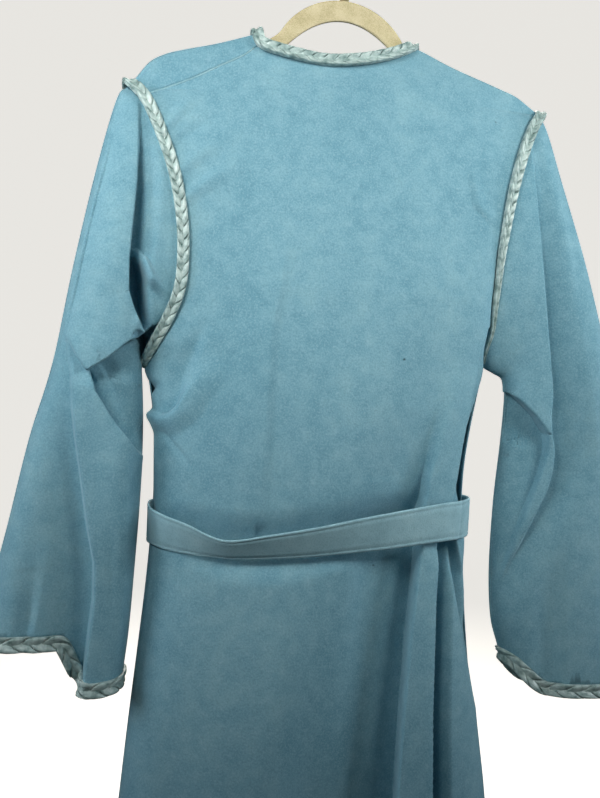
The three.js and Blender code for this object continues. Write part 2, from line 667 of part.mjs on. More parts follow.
// A function that gives a point of a plain sleeve: k counts the rows of its table and j the
// steps of a ring. Near the armhole it takes the armhole's outline.
function sleeveForm(side) {
  const rows = SLEEVE[side].map((row, ring) => ({ ...row, ring }));
  const at = readers(rows, 'ring', SLEEVE_COLUMNS);
  const hole = armhole[side];
  const cuff = CUFF_STEP[side];
  return (k, j, face) => {
    const down = ringShare(j);
    const sign = face === 'back' ? -1 : 1;
    const deep = face === 'back' ? 'near' : 'far';
    const wave = Math.sin((Math.PI * j) / RING);
    const full = sign * wave ** ROUNDING.sleeve;
    const stepped = mix(down, smoothBetween(down, cuff.from, cuff.to), smooth(k / (rows.length - 1)));
    const hug = (1 - Math.min(k / HUG_RINGS, 1)) ** 2;
    const holeZ = mix(hole.tip, hole.under, down);
    const offX = hole[`${face}X`](holeZ) - mix(rows[0].topX, rows[0].underX, down);
    const offY = hole[`${face}Y`](holeZ) - rows[0][deep] * full;
    return vec(
      mix(at.topX(k), at.underX(k), down) + offX * hug,
      at.y(k) + at[deep](k) * full + offY * hug,
      mix(at.topZ(k), at.underZ(k), stepped) - at.sag(k) * wave,
    );
  };
}

// Rings of a sleeve: down its near side, which holds the folds, and up its far side.
function sleeveGrid(side) {
  const form = sleeveForm(side);
  const last = SLEEVE[side].length - 1;
  const seam = side === 'left' ? -SEAM : SEAM;
  return steps(SLEEVE_RINGS, 1.2).map((t) => {
    const k = t * last;
    const free = 1 - (1 - Math.min(k / HUG_RINGS, 1)) ** 2;
    const near = steps(RING).map((_, j) => {
      const p = form(k, j, 'back');
      const room = FOLD_ROOM * (form(k, j, 'front').y - p.y);
      const push = -foldShift(SLEEVE_FOLDS[side], p.x, p.z) * free;
      return room > 0 ? p.setY(p.y + room * (1 - Math.exp(-push / room))) : p;
    });
    const far = steps(RING).map((_, j) => form(k, j, 'front')).slice(1, -1).reverse();
    return [...near, ...far].map((p) => p.setX(p.x + (k === 0 ? seam : 0)));
  });
}

// ---- the plaited trim ----
function armholePlait(side) {
  const hole = armhole[side];
  const seamAt = (s, face) => {
    const z = mix(hole.tip, hole.under, (1 - Math.cos(Math.PI * s)) / 2);
    return vec(hole[`${face}X`](z), hole[`${face}Y`](z), z);
  };
  const near = steps(TRIM_STEPS.armhole).map((s) => seamAt(s, 'back'));
  const far = steps(TRIM_STEPS.armhole).slice(1, -1).reverse().map((s) => seamAt(s, 'front'));
  const line = [...near, ...far];
  const count = line.length;
  const normals = line.map((p, i) => {
    const along = line[(i + 1) % count].clone().sub(line[(i + count - 1) % count]);
    const out = along.cross(vec(1, 0, 0)).normalize();
    const aside = Math.abs(out.y) * Math.tan(radians(hole.turn(p.z)));
    if (i < near.length) out.x = side === 'left' ? -aside : aside;
    return out.normalize();
  });
  const points = line.map((p, i) => {
    const halfHeight = (PLAIT.height * Math.sqrt(hole.wide(p.z))) / 2;
    const away = halfHeight + CLOTH / 2 + PLAIT.stand + hole.lift(p.z);
    return p.clone().addScaledVector(normals[i], away).add(vec(hole.slip(p.z), 0, 0));
  });
  return plaitGeometry(points, normals, PLAIT, true, (i) => hole.wide(line[i].z));
}

// The cuff's trim hangs below the edge of the cloth, in line with it.
function cuffPlait(grid) {
  const cuff = grid.at(-1);
  const inside = grid.at(-3);
  const count = cuff.length;
  const points = [];
  const normals = [];
  cuff.forEach((p, i) => {
    const along = cuff[(i + 1) % count].clone().sub(cuff[(i + count - 1) % count]).normalize();
    const down = p.clone().sub(inside[i]);
    down.addScaledVector(along, -down.dot(along)).normalize();
    points.push(p.clone().addScaledVector(down, CUFF_PLAIT.width / 2 + CUFF_PLAIT.stand));
    normals.push(along.cross(down));
  });
  return plaitGeometry(points, normals, CUFF_PLAIT, true);
}

// The neck's trim runs up the right front's edge from the belt, round the neck, and down
// the left front's edge until the right front covers it.
function neckPlait(back, frontLeft, frontRight) {
  const away = PLAIT.height / 2 + CLOTH / 2;
  const line = [];
  const place = (p, n, stand) => {
    line.push({ p: p.clone().addScaledVector(n, away + stand), n });
  };
  const onRidge = (z) => z > ridgeZ(NECK.leftX) - PLAIT.width * 2;
  const follow = (grid, normals, lowest) => grid.forEach((row, i) => {
    const p = row.at(-1);
    const stand = onRidge(p.z) ? PLAIT.ridgeStand : PLAIT.stand;
    if (p.z > lowest) place(p, normals[i].at(-1), stand);
  });

  const upwards = (grid) => [...grid].reverse().slice(0, -1);
  follow(upwards(frontRight), upwards(normalsFacing(frontRight, 1)), NECK_TRIM.beltTop);
  place(vec(NECK.rightX, 0, ridgeZ(NECK.rightX)), vec(-0.2, 0, 1).normalize(), PLAIT.ridgeStand);
  const backNormals = normalsFacing(back, -1);
  for (let j = back[0].length - 1; j >= 0; j -= 1) {
    const { x } = back[0][j];
    const clear = PLAIT.width * 0.6;
    if (x < NECK.rightX - clear && x > NECK.leftX + clear) {
      place(back[0][j], backNormals[0][j], PLAIT.stand);
    }
  }
  const alternate = (grid) => grid.filter((_, i) => i > 5 || i % 2 === 0);
  follow(alternate(frontLeft), alternate(normalsFacing(frontLeft, 1)), NECK_TRIM.covered);

  const path = new THREE.CatmullRomCurve3(line.map((e) => e.p), false, 'centripetal');
  const turned = new THREE.CatmullRomCurve3(line.map((e) => e.n), false, 'centripetal');
  const spots = steps(TRIM_STEPS.neck).map((u) => path.getUtoTmapping(u));
  return plaitGeometry(
    spots.map((t) => path.getPoint(t)),
    spots.map((t) => turned.getPoint(t).normalize()),
    PLAIT,
    false,
  );
}

// ---- the belt ----
const beltAt = readers(BELT_LINE, 'turn', ['z', 'lean']);

// A point round the body at the belt, and the way out from it: turn 0 is the right side,
// 90 the middle of the back, 180 the left side and 270 the middle of the fronts.
function beltPoint(turn, z) {
  const a = radians(turn);
  const left = sideX.left(z);
  const right = sideX.right(z);
  const x = (left + right) / 2 + ((right - left) / 2) * Math.cos(a);
  const out = vec(Math.cos(a) / 2, -Math.sin(a), 0).normalize();
  const behind = turn <= 180;
  const y = turn % 180 === 0 ? 0 : faceY(behind ? 'back' : 'front', x, z);
  const layers = behind ? 0 : (WRAP_GAP + BELT.frontStand) * Math.abs(Math.sin(a));
  return { p: vec(x, y, z).addScaledVector(out, BELT.stand + layers), out };
}

// The band as a ring of two rows: its upper edge, which leans out, and its lower edge.
function beltGrid() {
  const turns = steps(BELT.steps).slice(0, -1).map((t) => 360 * t);
  return [BELT.width, 0].map((height) => turns.map((turn) => {
    const { p, out } = beltPoint(turn, beltAt.z(turn));
    const lean = radians(beltAt.lean(turn));
    return p
      .addScaledVector(out, Math.sin(lean) * height)
      .add(vec(0, 0, Math.cos(lean) * height));
  }));
}

// The knot stands on the belt's own front stretch.
function knotGeometry() {
  const bandY = beltPoint(270, KNOT.z).p.y + BELT.thick / 2;
  const box = new RoundedBoxGeometry(KNOT.width, KNOT.depth, KNOT.height, 2, KNOT.radius);
  return box.translate(KNOT.x, bandY + KNOT.stand + KNOT.depth / 2, KNOT.z);
}

// A free end of the belt: a flat strip that hangs from under the knot along the fronts.
function beltEndGrid(end) {
  const top = KNOT.z - KNOT.height / 2 - KNOT.gap;
  return steps(8).map((t) => {
    const z = top - end.drop * t;
    const x = end.x + end.sway * t;
    const y = faceY('front', x, z) + WRAP_GAP + CLOTH + BELT.thick + end.stand;
    return steps(3).map((s) => vec(x + mix(-end.width, end.width, s) / 2, y, z));
  });
}

// ---- the hanger ----
// One flat plate: a high arch in the middle and two sloping arms with round tips.
function hangerGeometry() {
  const { arch, neck, tip, under } = HANGER;
  const from = radians(arch.from);
  const half = new THREE.Path();
  half.absarc(0, arch.z, arch.radius, Math.PI / 2, from, true);
  const foot = half.getPoint(1);
  half.quadraticCurveTo(foot.x + 6, foot.y - 9, neck.x, neck.z);
  half.lineTo(tip.x - 14, tip.z + 3);
  half.quadraticCurveTo(tip.x + 10, tip.z - 3, tip.x + 3, tip.z - tip.height * 0.6);
  half.quadraticCurveTo(tip.x - 3, tip.z - tip.height, tip.x - 20, tip.z - tip.height + 3);
  half.lineTo(under.x, under.z);
  half.quadraticCurveTo(under.x - 26, under.z + 8, under.archX, under.archZ);
  half.quadraticCurveTo(under.archX / 2, under.crownZ, 0, under.crownZ);
  const right = half.getPoints(10);
  const left = right.slice(1, -1).reverse().map((p) => new THREE.Vector2(-p.x, p.y));
  const plate = new THREE.ExtrudeGeometry(new THREE.Shape([...right, ...left]), {
    depth: HANGER.thick,
    bevelEnabled: false,
  });
  plate.rotateX(Math.PI / 2);
  return plate.translate(0, HANGER.thick / 2, 0);
}

// The collar that the wire hook is set in.
function collarGeometry() {
  const { radius, topRadius, top, bottom } = COLLAR;
  const cylinder = new THREE.CylinderGeometry(topRadius, radius, top - bottom, 20);
  cylinder.rotateX(Math.PI / 2);
  return cylinder.translate(0, 0, (top + bottom) / 2);
}

// Wire hook: up from the collar, out to +X, over the top and down to its open tip.
function hookGeometry() {
  const centreZ = HOOK.wire - HOOK.radius;
  const arc = (degrees) => vec(
    HOOK.radius * Math.cos(radians(degrees)),
    0,
    centreZ + HOOK.radius * Math.sin(radians(degrees)),
  );
  const path = new THREE.CatmullRomCurve3([
    vec(0, 0, HOOK.foot),
    vec(0, 0, (HOOK.foot + HOOK.bend.z) / 2),
    vec(HOOK.bend.x, 0, HOOK.bend.z),
    ...steps(9).map((t) => arc(mix(HOOK.startAngle, HOOK.tipAngle, t))),
  ]);
  const section = new THREE.Shape();
  section.absarc(0, 0, HOOK.wire, 0, 2 * Math.PI, false);
  return new THREE.ExtrudeGeometry(section, { steps: 40, curveSegments: 5, extrudePath: path });
}

// ---- assembly ----
const MATERIALS = {
  cloth: { color: 0x6f9fae, roughness: 0.92, metalness: 0 },
  trim: { color: 0xa9bbb2, roughness: 0.5, metalness: 0 },
  flock: { color: 0xd3c9a4, roughness: 0.95, metalness: 0 },
  wire: { color: 0xc9c6bd, roughness: 0.3, metalness: 1 },
};

const robe = new THREE.Group();

function add(name, geometry, material) {
  const mesh = new THREE.Mesh(geometry, new THREE.MeshStandardMaterial(MATERIALS[material]));
  mesh.name = name;
  robe.add(mesh);
}

const back = backGrid();
const frontLeft = frontGrid('left', 0);
const frontRight = frontGrid('right', WRAP_GAP);
add('back', wallGeometry(back, CLOTH), 'cloth');
add('front_left', wallGeometry(frontLeft, CLOTH), 'cloth');
add('front_right', wallGeometry(frontRight, CLOTH), 'cloth');
add('plait_neck', neckPlait(back, frontLeft, frontRight), 'trim');
for (const side of ['left', 'right']) {
  const sleeve = sleeveGrid(side);
  add(`sleeve_${side}`, wallGeometry(sleeve, CLOTH, true), 'cloth');
  add(`plait_armhole_${side}`, armholePlait(side), 'trim');
  add(`plait_cuff_${side}`, cuffPlait(sleeve), 'trim');
}

add('belt_band', wallGeometry(beltGrid(), BELT.thick, true), 'cloth');
add('belt_knot', knotGeometry(), 'cloth');
for (const end of BELT_ENDS) {
  add(end.name, wallGeometry(beltEndGrid(end), BELT.thick), 'cloth');
}

add('hanger', hangerGeometry(), 'flock');
add('hanger_collar', collarGeometry(), 'flock');
add('hook', hookGeometry(), 'wire');

export default robe;
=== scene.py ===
"""Dresses a wrap robe on its hanger: velour panels, satin plaits, a self belt, a flocked hanger."""
import logging
import math
from dataclasses import dataclass
from enum import Enum
from typing import Any, Sequence

import bmesh
import bpy
import numpy as np
from mathutils import Matrix, Vector


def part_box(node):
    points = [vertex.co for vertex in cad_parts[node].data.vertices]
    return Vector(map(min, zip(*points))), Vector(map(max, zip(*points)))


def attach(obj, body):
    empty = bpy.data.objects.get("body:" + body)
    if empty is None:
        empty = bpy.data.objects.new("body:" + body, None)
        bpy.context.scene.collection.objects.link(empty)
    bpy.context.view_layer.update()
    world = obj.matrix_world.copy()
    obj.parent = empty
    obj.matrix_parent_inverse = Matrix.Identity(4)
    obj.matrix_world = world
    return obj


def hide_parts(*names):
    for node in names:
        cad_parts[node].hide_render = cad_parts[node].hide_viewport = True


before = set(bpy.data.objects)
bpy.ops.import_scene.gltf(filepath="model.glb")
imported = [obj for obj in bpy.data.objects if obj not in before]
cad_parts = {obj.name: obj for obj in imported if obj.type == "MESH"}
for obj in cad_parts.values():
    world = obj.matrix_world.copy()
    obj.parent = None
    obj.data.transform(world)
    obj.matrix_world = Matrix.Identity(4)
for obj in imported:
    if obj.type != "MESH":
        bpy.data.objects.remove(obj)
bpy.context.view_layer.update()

log = logging.getLogger("robe")
Array = np.ndarray
Material = bpy.types.Material
Piece = bpy.types.Object
Socket = bpy.types.NodeSocket

MM = 0.001  # sizes below are in millimetres, and meshes are in metres
BODY = "root"

# ---- driving sizes ----
CLOTH = 1.6
SEAM = 0.2  # panels stop this far short of each seam line
HEM_Z = -1430.0
CHEST_Z = -400.0  # where the body reaches its full depth below the shoulders
SHOULDER_CAP = 5.0
WRAP_GAP = 5.2  # from the left front to the right one, which laps over it
RING = 10  # steps down one side of an armhole, which the row numbers of every panel count
SKIRT_ROWS = 12
HUG_RINGS = 2.6  # rows of a sleeve's table over which it still has the armhole's outline
FOLD_ROOM = 0.72  # share of a sleeve's depth that a fold may take up
RISE_ROOM = 5.0  # where a sleeve has this much room, its folds rise in full

# ---- powers that set how full a curve is ----
CROWN_POWER = 2.6  # the body from side to side
FALL_POWER = 0.6  # the body from the shoulders to the chest
SLEEVE_POWER = 0.75  # a sleeve's ring
SETTLE_POWER = 1.7  # how soon a panel's rows lose the shoulder line's shape
SKIRT_POWER = 1.15  # how the rows spread out below the underarm


class Side(Enum):
    """The wearer's side: the left one lies towards -X."""

    LEFT = "left"
    RIGHT = "right"


class Face(Enum):
    """The back of the robe faces -Y and its fronts face +Y."""

    BACK = "back"
    FRONT = "front"


# ---- small helpers ----
def mix(a: Any, b: Any, t: Any) -> Any:
    """Returns the value a share t of the way from a to b."""
    return a + (b - a) * t


def smooth_between(value: Any, low: Any, high: Any) -> Any:
    """Returns 0 below low, 1 above high and a smooth rise between them."""
    t = np.clip((value - low) / (high - low), 0.0, 1.0)
    return t * t * (3 - 2 * t)


def unit(vectors: Array) -> Array:
    """Returns the vectors with length 1."""
    return vectors / np.maximum(np.linalg.norm(vectors, axis=-1, keepdims=True), 1e-9)


def squared_off(value: Array, power: float) -> Array:
    """Returns a sine or cosine made fuller, which a power below 1 does to a round."""
    return np.sign(value) * np.abs(value) ** power


class Table:
    """Sizes in millimetres, one row for each section, read smoothly by their first column."""

    def __init__(self, columns: str, rows: Sequence[Sequence[float]]) -> None:
        """Keeps the rows.

        Args:
            columns: The columns' names, the one that the rows are read by first.
            rows: The rows, in any order.
        """
        names = columns.split()[1:]
        data = np.array(sorted(rows), float)
        self.at = data[:, 0]
        self.values = dict(zip(names, data[:, 1:].T))

    def read(self, column: str, where: Any) -> Array:
        """Reads one column between the rows.

        Args:
            column: The column's name.
            where: Values of the first column.

        Returns:
            The column's smooth values there.
        """
        value = self.values[column]
        last = len(self.at) - 1
        index = np.arange(last + 1)
        before, after = np.maximum(index - 1, 0), np.minimum(index + 1, last)
        slope = (value[after] - value[before]) / (self.at[after] - self.at[before])
        v = np.clip(where, self.at[0], self.at[-1])
        i = np.clip(np.searchsorted(self.at, v) - 1, 0, last - 1)
        span = self.at[i + 1] - self.at[i]
        t = (v - self.at[i]) / span
        ends = slope[i] * t * (1 - t) ** 2 + slope[i + 1] * t * t * (t - 1)
        return mix(value[i], value[i + 1], t * t * (3 - 2 * t)) + ends * span


@dataclass(frozen=True)
class Fold:
    """A soft trough or ridge along a line on the cloth, seen flat from behind.

    Each row is (x, z, depth, left, right): a point of the line, how far the cloth is moved
    outwards there, and how far that reaches to each side of the line as it is travelled.
    lap is how far the standing cloth on the steep side hangs over the trough at its deepest.
    """

    name: str
    rows: tuple[tuple[float, float, float, float, float], ...]
    lap: float = 0.0
    ease: float = 3.4  # the cloth behind a lap gives way over this many times its length

    def moves(self, x: Array, z: Array) -> Array:
        """Works out how the fold moves some points of the cloth.

        Args:
            x: Their places along the shoulders.
            z: Their heights.

        Returns:
            For each point how far it moves outwards, along x and along z.
        """
        nearest = np.full(x.shape, np.inf)
        depth, left, right = np.zeros(x.shape), np.ones(x.shape), np.ones(x.shape)
        on_left, to_x, to_z = np.zeros(x.shape, bool), np.zeros(x.shape), np.zeros(x.shape)
        for a, b in zip(self.rows, self.rows[1:]):
            dx, dz = b[0] - a[0], b[1] - a[1]
            t = np.clip(((x - a[0]) * dx + (z - a[1]) * dz) / (dx * dx + dz * dz), 0, 1)
            off_x, off_z = a[0] + dx * t - x, a[1] + dz * t - z
            away = np.hypot(off_x, off_z)
            here = away < nearest
            nearest = np.where(here, away, nearest)
            depth = np.where(here, mix(a[2], b[2], t), depth)
            left = np.where(here, mix(a[3], b[3], t), left)
            right = np.where(here, mix(a[4], b[4], t), right)
            on_left = np.where(here, dx * (z - a[1]) - dz * (x - a[0]) > 0, on_left)
            to_x, to_z = np.where(here, off_x, to_x), np.where(here, off_z, to_z)
        out = depth * (1 - smooth_between(nearest, 0.0, np.where(on_left, left, right)))
        if not self.lap:
            return np.stack([out, 0 * out, 0 * out], -1)
        steep = np.minimum(left, right)
        before = smooth_between(nearest, 0.0, steep)
        behind = 1 - smooth_between(nearest - steep, 0.0, self.ease * self.lap)
        share = -depth / max(-row[2] for row in self.rows)
        slide = self.lap * share * before * behind * (on_left == (left < right))
        reach = np.maximum(nearest, 1e-6)
        return np.stack([out, slide * to_x / reach, slide * to_z / reach], -1)


def all_moves(folds: Sequence[Fold], x: Array, z: Array) -> Array:
    """Returns how all the folds together move each point: outwards, along x and along z."""
    total = np.zeros(x.shape + (3,))
    for fold in folds:
        rows = np.array(fold.rows)
        room = rows[:, 3:].max() + fold.ease * fold.lap
        low, high = rows[:, :2].min(0) - room, rows[:, :2].max(0) + room
        near = (x > low[0]) & (x < high[0]) & (z > low[1]) & (z < high[1])
        total[near] += fold.moves(x[near], z[near])
    return total


@dataclass(frozen=True)
class Unevenness:
    """The slight waviness of hung cloth: long waves that wander as they run down."""

    depth: float = 0.9
    widths: tuple[float, ...] = (143.0, 88.0, 57.0)
    wander: float = 14.0
    wander_run: float = 2.3  # how far down a wave wanders, in its own widths
    fade_run: float = 1.7  # the same for its fading
    stagger: float = 1.7  # sets the waves' wanderings apart
    steady: float = 0.6  # share of a wave that doesn't fade

    def shift(self, x: Array, z: Array) -> Array:
        """Returns how far the waves move the cloth outwards at each point (x, z)."""
        total = np.zeros(x.shape)
        for turn, width in enumerate(self.widths):
            aside = self.wander * np.sin(z / (self.wander_run * width) + self.stagger * turn)
            fade = self.steady + (1 - self.steady) * np.sin(z / (self.fade_run * width) + turn)
            total += np.sin(2 * math.pi * (x + aside) / width + turn) * fade
        return total * self.depth / len(self.widths)


# ---- tables of the form: the part's own, with the cloth under the arms laid a little closer ----
ARMHOLE = {
    Side.LEFT: Table("z back_x back_y front_x front_y", [
        (-197, -229, 0, -229, 0),
        (-201, -225, -7, -228, 7),
        (-206, -217, -12, -225, 11),
        (-220, -206, -18, -219, 15),
        (-267, -186, -29, -203, 25),
        (-300, -176, -34, -194, 30),
        (-340, -169, -37, -187, 33),
        (-374, -167, -38, -184, 34),
        (-408, -169, -36, -184, 32),
        (-438, -179, -29, -188, 26),
        (-463, -191, -17, -193, 16),
        (-481, -199, 0, -199, 0),
    ]),
    Side.RIGHT: Table("z back_x back_y front_x front_y", [
        (-181, 236, 0, 236, 0),
        (-186, 232, -7, 234, 7),
        (-195, 223, -13, 229, 12),
        (-210, 214, -18, 222, 16),
        (-247, 199, -26, 210, 22),
        (-285, 189, -29, 201, 27),
        (-319, 183, -29, 194, 31),
        (-353, 178, -27, 188, 33),
        (-381, 176, -24, 184, 32),
        (-407, 175, -20, 180, 28),
        (-430, 176, -15, 179, 23),
        (-455, 175, -8, 177, 12),
        (-470, 177, 0, 177, 0),
    ]),
}
ARMHOLE_TRIM = {
    Side.LEFT: Table("z turn wide lift slip", [
        (-197, 0, 1.0, 3.7, 0),
        (-230, 0, 1.0, 0.5, 0),
        (-300, 0, 1.0, 0.3, 0),
        (-400, 0, 1.0, 1.1, 0),
        (-440, 0, 0.95, 2.5, -1.5),
        (-465, 0, 0.85, 3.4, -3),
        (-481, 0, 0.7, 4.3, -4),
    ]),
    Side.RIGHT: Table("z turn wide lift slip", [
        (-181, 0, 1.0, 0.9, 0),
        (-247, 14, 1.0, 0.7, 0),
        (-319, 26, 0.85, 1.5, 0),
        (-380, 32, 0.6, 2.7, 1),
        (-430, 20, 0.4, 1.2, 3),
        (-450, 8, 0.28, -0.6, 2),
        (-470, 0, 0.25, -0.8, 1),
    ]),
}
SIDE_SEAM = Table("z left right", [
    (-455, -201, 178),
    (-481, -199, 176),
    (-508, -193, 171),
    (-543, -188, 165),
    (-585, -186, 160),
    (-627, -185, 159),
    (-674, -187, 161),
    (-721, -190, 165),
    (-780, -195, 171),
    (-860, -202, 181),
    (-950, -209, 194),
    (-1180, -227, 218),
    (-1430, -244, 242),
])
BODY_DEPTH = Table("z back front left right", [
    (-120, 40, 24, 1.0, 1.0),
    (-260, 43, 29, 1.0, 0.9),
    (-400, 47, 33, 0.9, 0.5),
    (-500, 54, 37, 0.55, 0.45),
    (-585, 57, 39, 0.48, 0.45),
    (-650, 56, 39, 0.48, 0.45),
    (-720, 60, 43, 0.48, 0.45),
    (-860, 73, 52, 0.48, 0.45),
    (-1100, 86, 62, 0.48, 0.45),
    (-1430, 102, 76, 0.48, 0.45),
])
RIDGE = Table("x z", [
    (-229, -197),
    (-221, -187),
    (-207, -168),
    (-192, -158),
    (-176, -152),
    (-139, -141),
    (-95, -126),
    (0, -98),
    (83, -122),
    (113, -133),
    (149, -145),
    (186, -156),
    (204, -162),
    (221, -172),
    (236, -181),
])
NECK_LEFT_X, NECK_RIGHT_X = -95.0, 83.0
BACK_TOP = Table("x z", [
    (-215, -209),
    (-191, -197),
    (-165, -185),
    (-140, -171),
    (-110, -154),
    (NECK_LEFT_X, -143),
    (-77, -146),
    (-49, -151),
    (-17, -153),
    (17, -148),
    (51, -137),
    (NECK_RIGHT_X, -123),
    (113, -133),
    (149, -145),
    (186, -156),
    (204, -162),
    (221, -172),
    (236, -181),
])
FRONT_EDGE = Table("z left right", [
    (-120, -95, 83),
    (-160, -88, 78),
    (-220, -68, 58),
    (-330, -16, 6),
    (-480, 42, -52),
    (-620, 78, -88),
    (-700, 84, -94),
    (-900, 92, -102),
    (-1430, 112, -122),
])
SLEEVE = {
    Side.LEFT: Table("ring top_x top_z under_x under_z y near far sag", [
        (0, -229, -197, -199, -481, 0, 37, 34, 0),
        (1, -239, -212, -203, -489, 0, 42, 33, 0),
        (2, -256, -285, -202, -503, -2, 48, 32, 0),
        (3, -275, -385, -200, -536, -3, 50, 32, 0),
        (4, -292, -487, -199, -582, -4, 48, 32, 0),
        (5, -312, -565, -200, -636, -4, 48, 32, 0),
        (6, -330, -655, -203, -704, -4, 48, 32, 2),
        (7, -344, -718, -206, -760, -4, 50, 34, 3),
        (8, -352, -756, -210, -801, -4, 52, 34, 4),
    ]),
    Side.RIGHT: Table("ring top_x top_z under_x under_z y near far sag", [
        (0, 236, -181, 177, -470, 0, 33, 32, 0),
        (1, 244, -203, 194, -474, 0, 34, 31, 0),
        (2, 261, -258, 206, -481, 0, 36, 28, 0),
        (3, 292, -352, 209, -504, 0, 38, 27, 0),
        (4, 329, -465, 206, -554, 0, 38, 28, 0),
        (5, 366, -575, 200, -625, 0, 36, 30, 0),
        (6, 401, -685, 198, -700, 0, 36, 30, 2),
        (7, 430, -768, 202, -754, 0, 36, 30, 3),
        (8, 446, -820, 212, -788, 0, 36, 30, 3),
    ]),
}
CUFF_STEP = {Side.LEFT: (0.56, 0.78), Side.RIGHT: (0.78, 1.0)}
BELT_LINE = Table("turn z lean wide", [
    (0, -658, 0, 1.0),
    (25, -660, 3, 1.0),
    (45, -662, 7, 1.0),
    (72, -669, 17, 0.97),
    (93, -675, 28, 0.88),
    (110, -678, 35, 0.76),
    (118, -679, 39, 0.68),
    (124, -679, 41, 0.66),
    (130, -678, 37, 0.73),
    (138, -677, 28, 0.87),
    (150, -675, 24, 1.0),
    (160, -673, 15, 1.0),
    (170, -671, 5, 1.0),
    (180, -671, 0, 1.0),
    (225, -668, 0, 1.0),
    (270, -664, 0, 1.0),
    (315, -661, 0, 1.0),
    (360, -658, 0, 1.0),
])

# ---- folds of the cloth: rows of x, z, depth, reach to the left, reach to the right ----
BACK_FOLDS = [
    Fold("valley beside the long pleat", (
        (86, -1430, -46, 170, 6), (88, -929, -45, 170, 6), (94, -844, -44, 160, 6),
        (101, -764, -42, 150, 6), (110, -671, -37, 140, 6), (106, -595, -22, 110, 9),
        (110, -520, -11, 90, 26), (118, -440, -5, 80, 38), (124, -380, 0, 70, 40),
    ), lap=21.0, ease=1.1),
    Fold("far edge of the pleat", (
        (116, -1430, -54, 6, 26), (117, -929, -52, 6, 20), (120, -844, -48, 6, 15),
        (128, -721, -36, 6, 10), (133, -663, -26, 6, 14), (140, -608, -20, 6, 36),
        (149, -563, -14, 6, 34), (159, -509, -8, 5, 24), (168, -462, -5, 5, 14), (174, -430, -2, 4, 8),
    ), lap=4.0, ease=1.6),
    Fold("side behind the second pleat", (
        (143, -664, -14, 4, 30), (157, -701, -15, 4, 26), (166, -760, -12, 4, 18), (176, -850, 0, 5, 8),
    ), lap=3.0),
    Fold("tuck under the belt", (
        (-184, -646, -3, 24, 30), (-150, -656, -11, 36, 34), (-110, -668, -14, 40, 40),
        (-60, -668, -14, 42, 40), (0, -656, -12, 42, 40), (60, -648, -13, 42, 40),
        (100, -642, -10, 36, 30), (150, -640, -2, 20, 20),
    )),
    Fold("soft valley down the skirt", (
        (-34, -1430, -24, 70, 60), (-26, -930, -10, 60, 50), (-20, -690, 0, 50, 50),
    )),
    Fold("soft valley near the left side seam", (
        (-170, -1430, -20, 42, 60), (-160, -930, -5, 36, 50), (-150, -760, 0, 30, 40),
    )),
    Fold("break down the middle of the back", (
        (-84, -640, 3.5, 52, 15), (-80, -549, 4.5, 48, 13), (-77, -448, 3.6, 44, 12),
        (-68, -397, 2.4, 36, 12), (-60, -330, 0, 30, 14),
    )),
    Fold("roll over the waist at the left", (
        (-204, -526, 4, 8, 15), (-190, -537, 7, 6, 18), (-180, -540, 8, 5, 20), (-171, -538, 8, 5, 22),
        (-163, -529, 8, 6, 24), (-154, -512, 6, 9, 24), (-141, -494, 3, 13, 26), (-128, -476, 0, 14, 26),
    )),
    Fold("hollow above the roll", (
        (-170, -527, -3, 10, 8), (-165, -504, -5, 16, 10), (-158, -484, -4, 16, 11),
        (-149, -460, -2.5, 14, 11), (-140, -438, 0, 12, 11),
    )),
    Fold("fine crease under the roll", (
        (-186, -546, -0.6, 4, 5), (-173, -560, -1.5, 3.5, 7), (-158, -577, -1.4, 4, 8),
        (-146, -592, 0, 4, 8),
    )),
    Fold("nick in the left side", (
        (-206, -511, -9, 11, 11), (-196, -510, -6, 10, 10), (-180, -506, 0, 9, 9),
    )),
    Fold("bulge under the armhole", (
        (-202, -492, 3, 10, 14), (-186, -494, 0, 10, 14),
    )),
    Fold("pull from the armhole, upper", (
        (-187, -238, 2.4, 10, 9), (-166, -211, 1.8, 11, 10), (-142, -189, 0, 11, 11),
    )),
    Fold("pull from the armhole, middle", (
        (-176, -288, 3.0, 13, 11), (-149, -264, 2.2, 13, 12), (-118, -238, 0, 14, 14),
    )),
    Fold("pull from the armhole, lower", (
        (-170, -315, 3.2, 10, 12), (-140, -293, 2.4, 11, 14), (-104, -268, 0, 12, 16),
    )),
    Fold("hollow between the pulls", (
        (-181, -262, -2.2, 9, 9), (-154, -238, -1.4, 9, 9), (-126, -216, 0, 9, 9),
    )),
    Fold("pucker beside the right armhole", (
        (143, -252, 0, 10, 9), (147, -275, 2.2, 12, 8), (150, -295, 2.6, 14, 8), (166, -309, 1.6, 12, 8),
        (174, -320, 0, 10, 8),
    )),
    Fold("soft rise right of the neck", (
        (78, -172, 0, 16, 20), (96, -181, 1.6, 16, 22), (122, -190, 0, 16, 20),
    )),
    Fold("soft rise down the back", (
        (20, -190, 0, 30, 30), (18, -330, 2.0, 34, 30), (20, -560, 0, 34, 30),
    )),
    Fold("soft rise right of the middle", (
        (84, -230, 0, 24, 26), (85, -340, 2.2, 28, 26), (83, -500, 0, 30, 26),
    )),
    Fold("gather over the belt, left", (
        (-150, -600, 0, 20, 20), (-146, -655, -3, 22, 22), (-150, -760, 0, 26, 26),
    )),
    Fold("gather over the belt, middle", (
        (-30, -610, 0, 22, 20), (-28, -665, -3.5, 24, 24), (-34, -790, 0, 28, 30),
    )),
    Fold("gather over the belt, right", (
        (40, -600, 0, 20, 20), (38, -662, -3, 22, 22), (34, -800, 0, 30, 26),
    )),
]
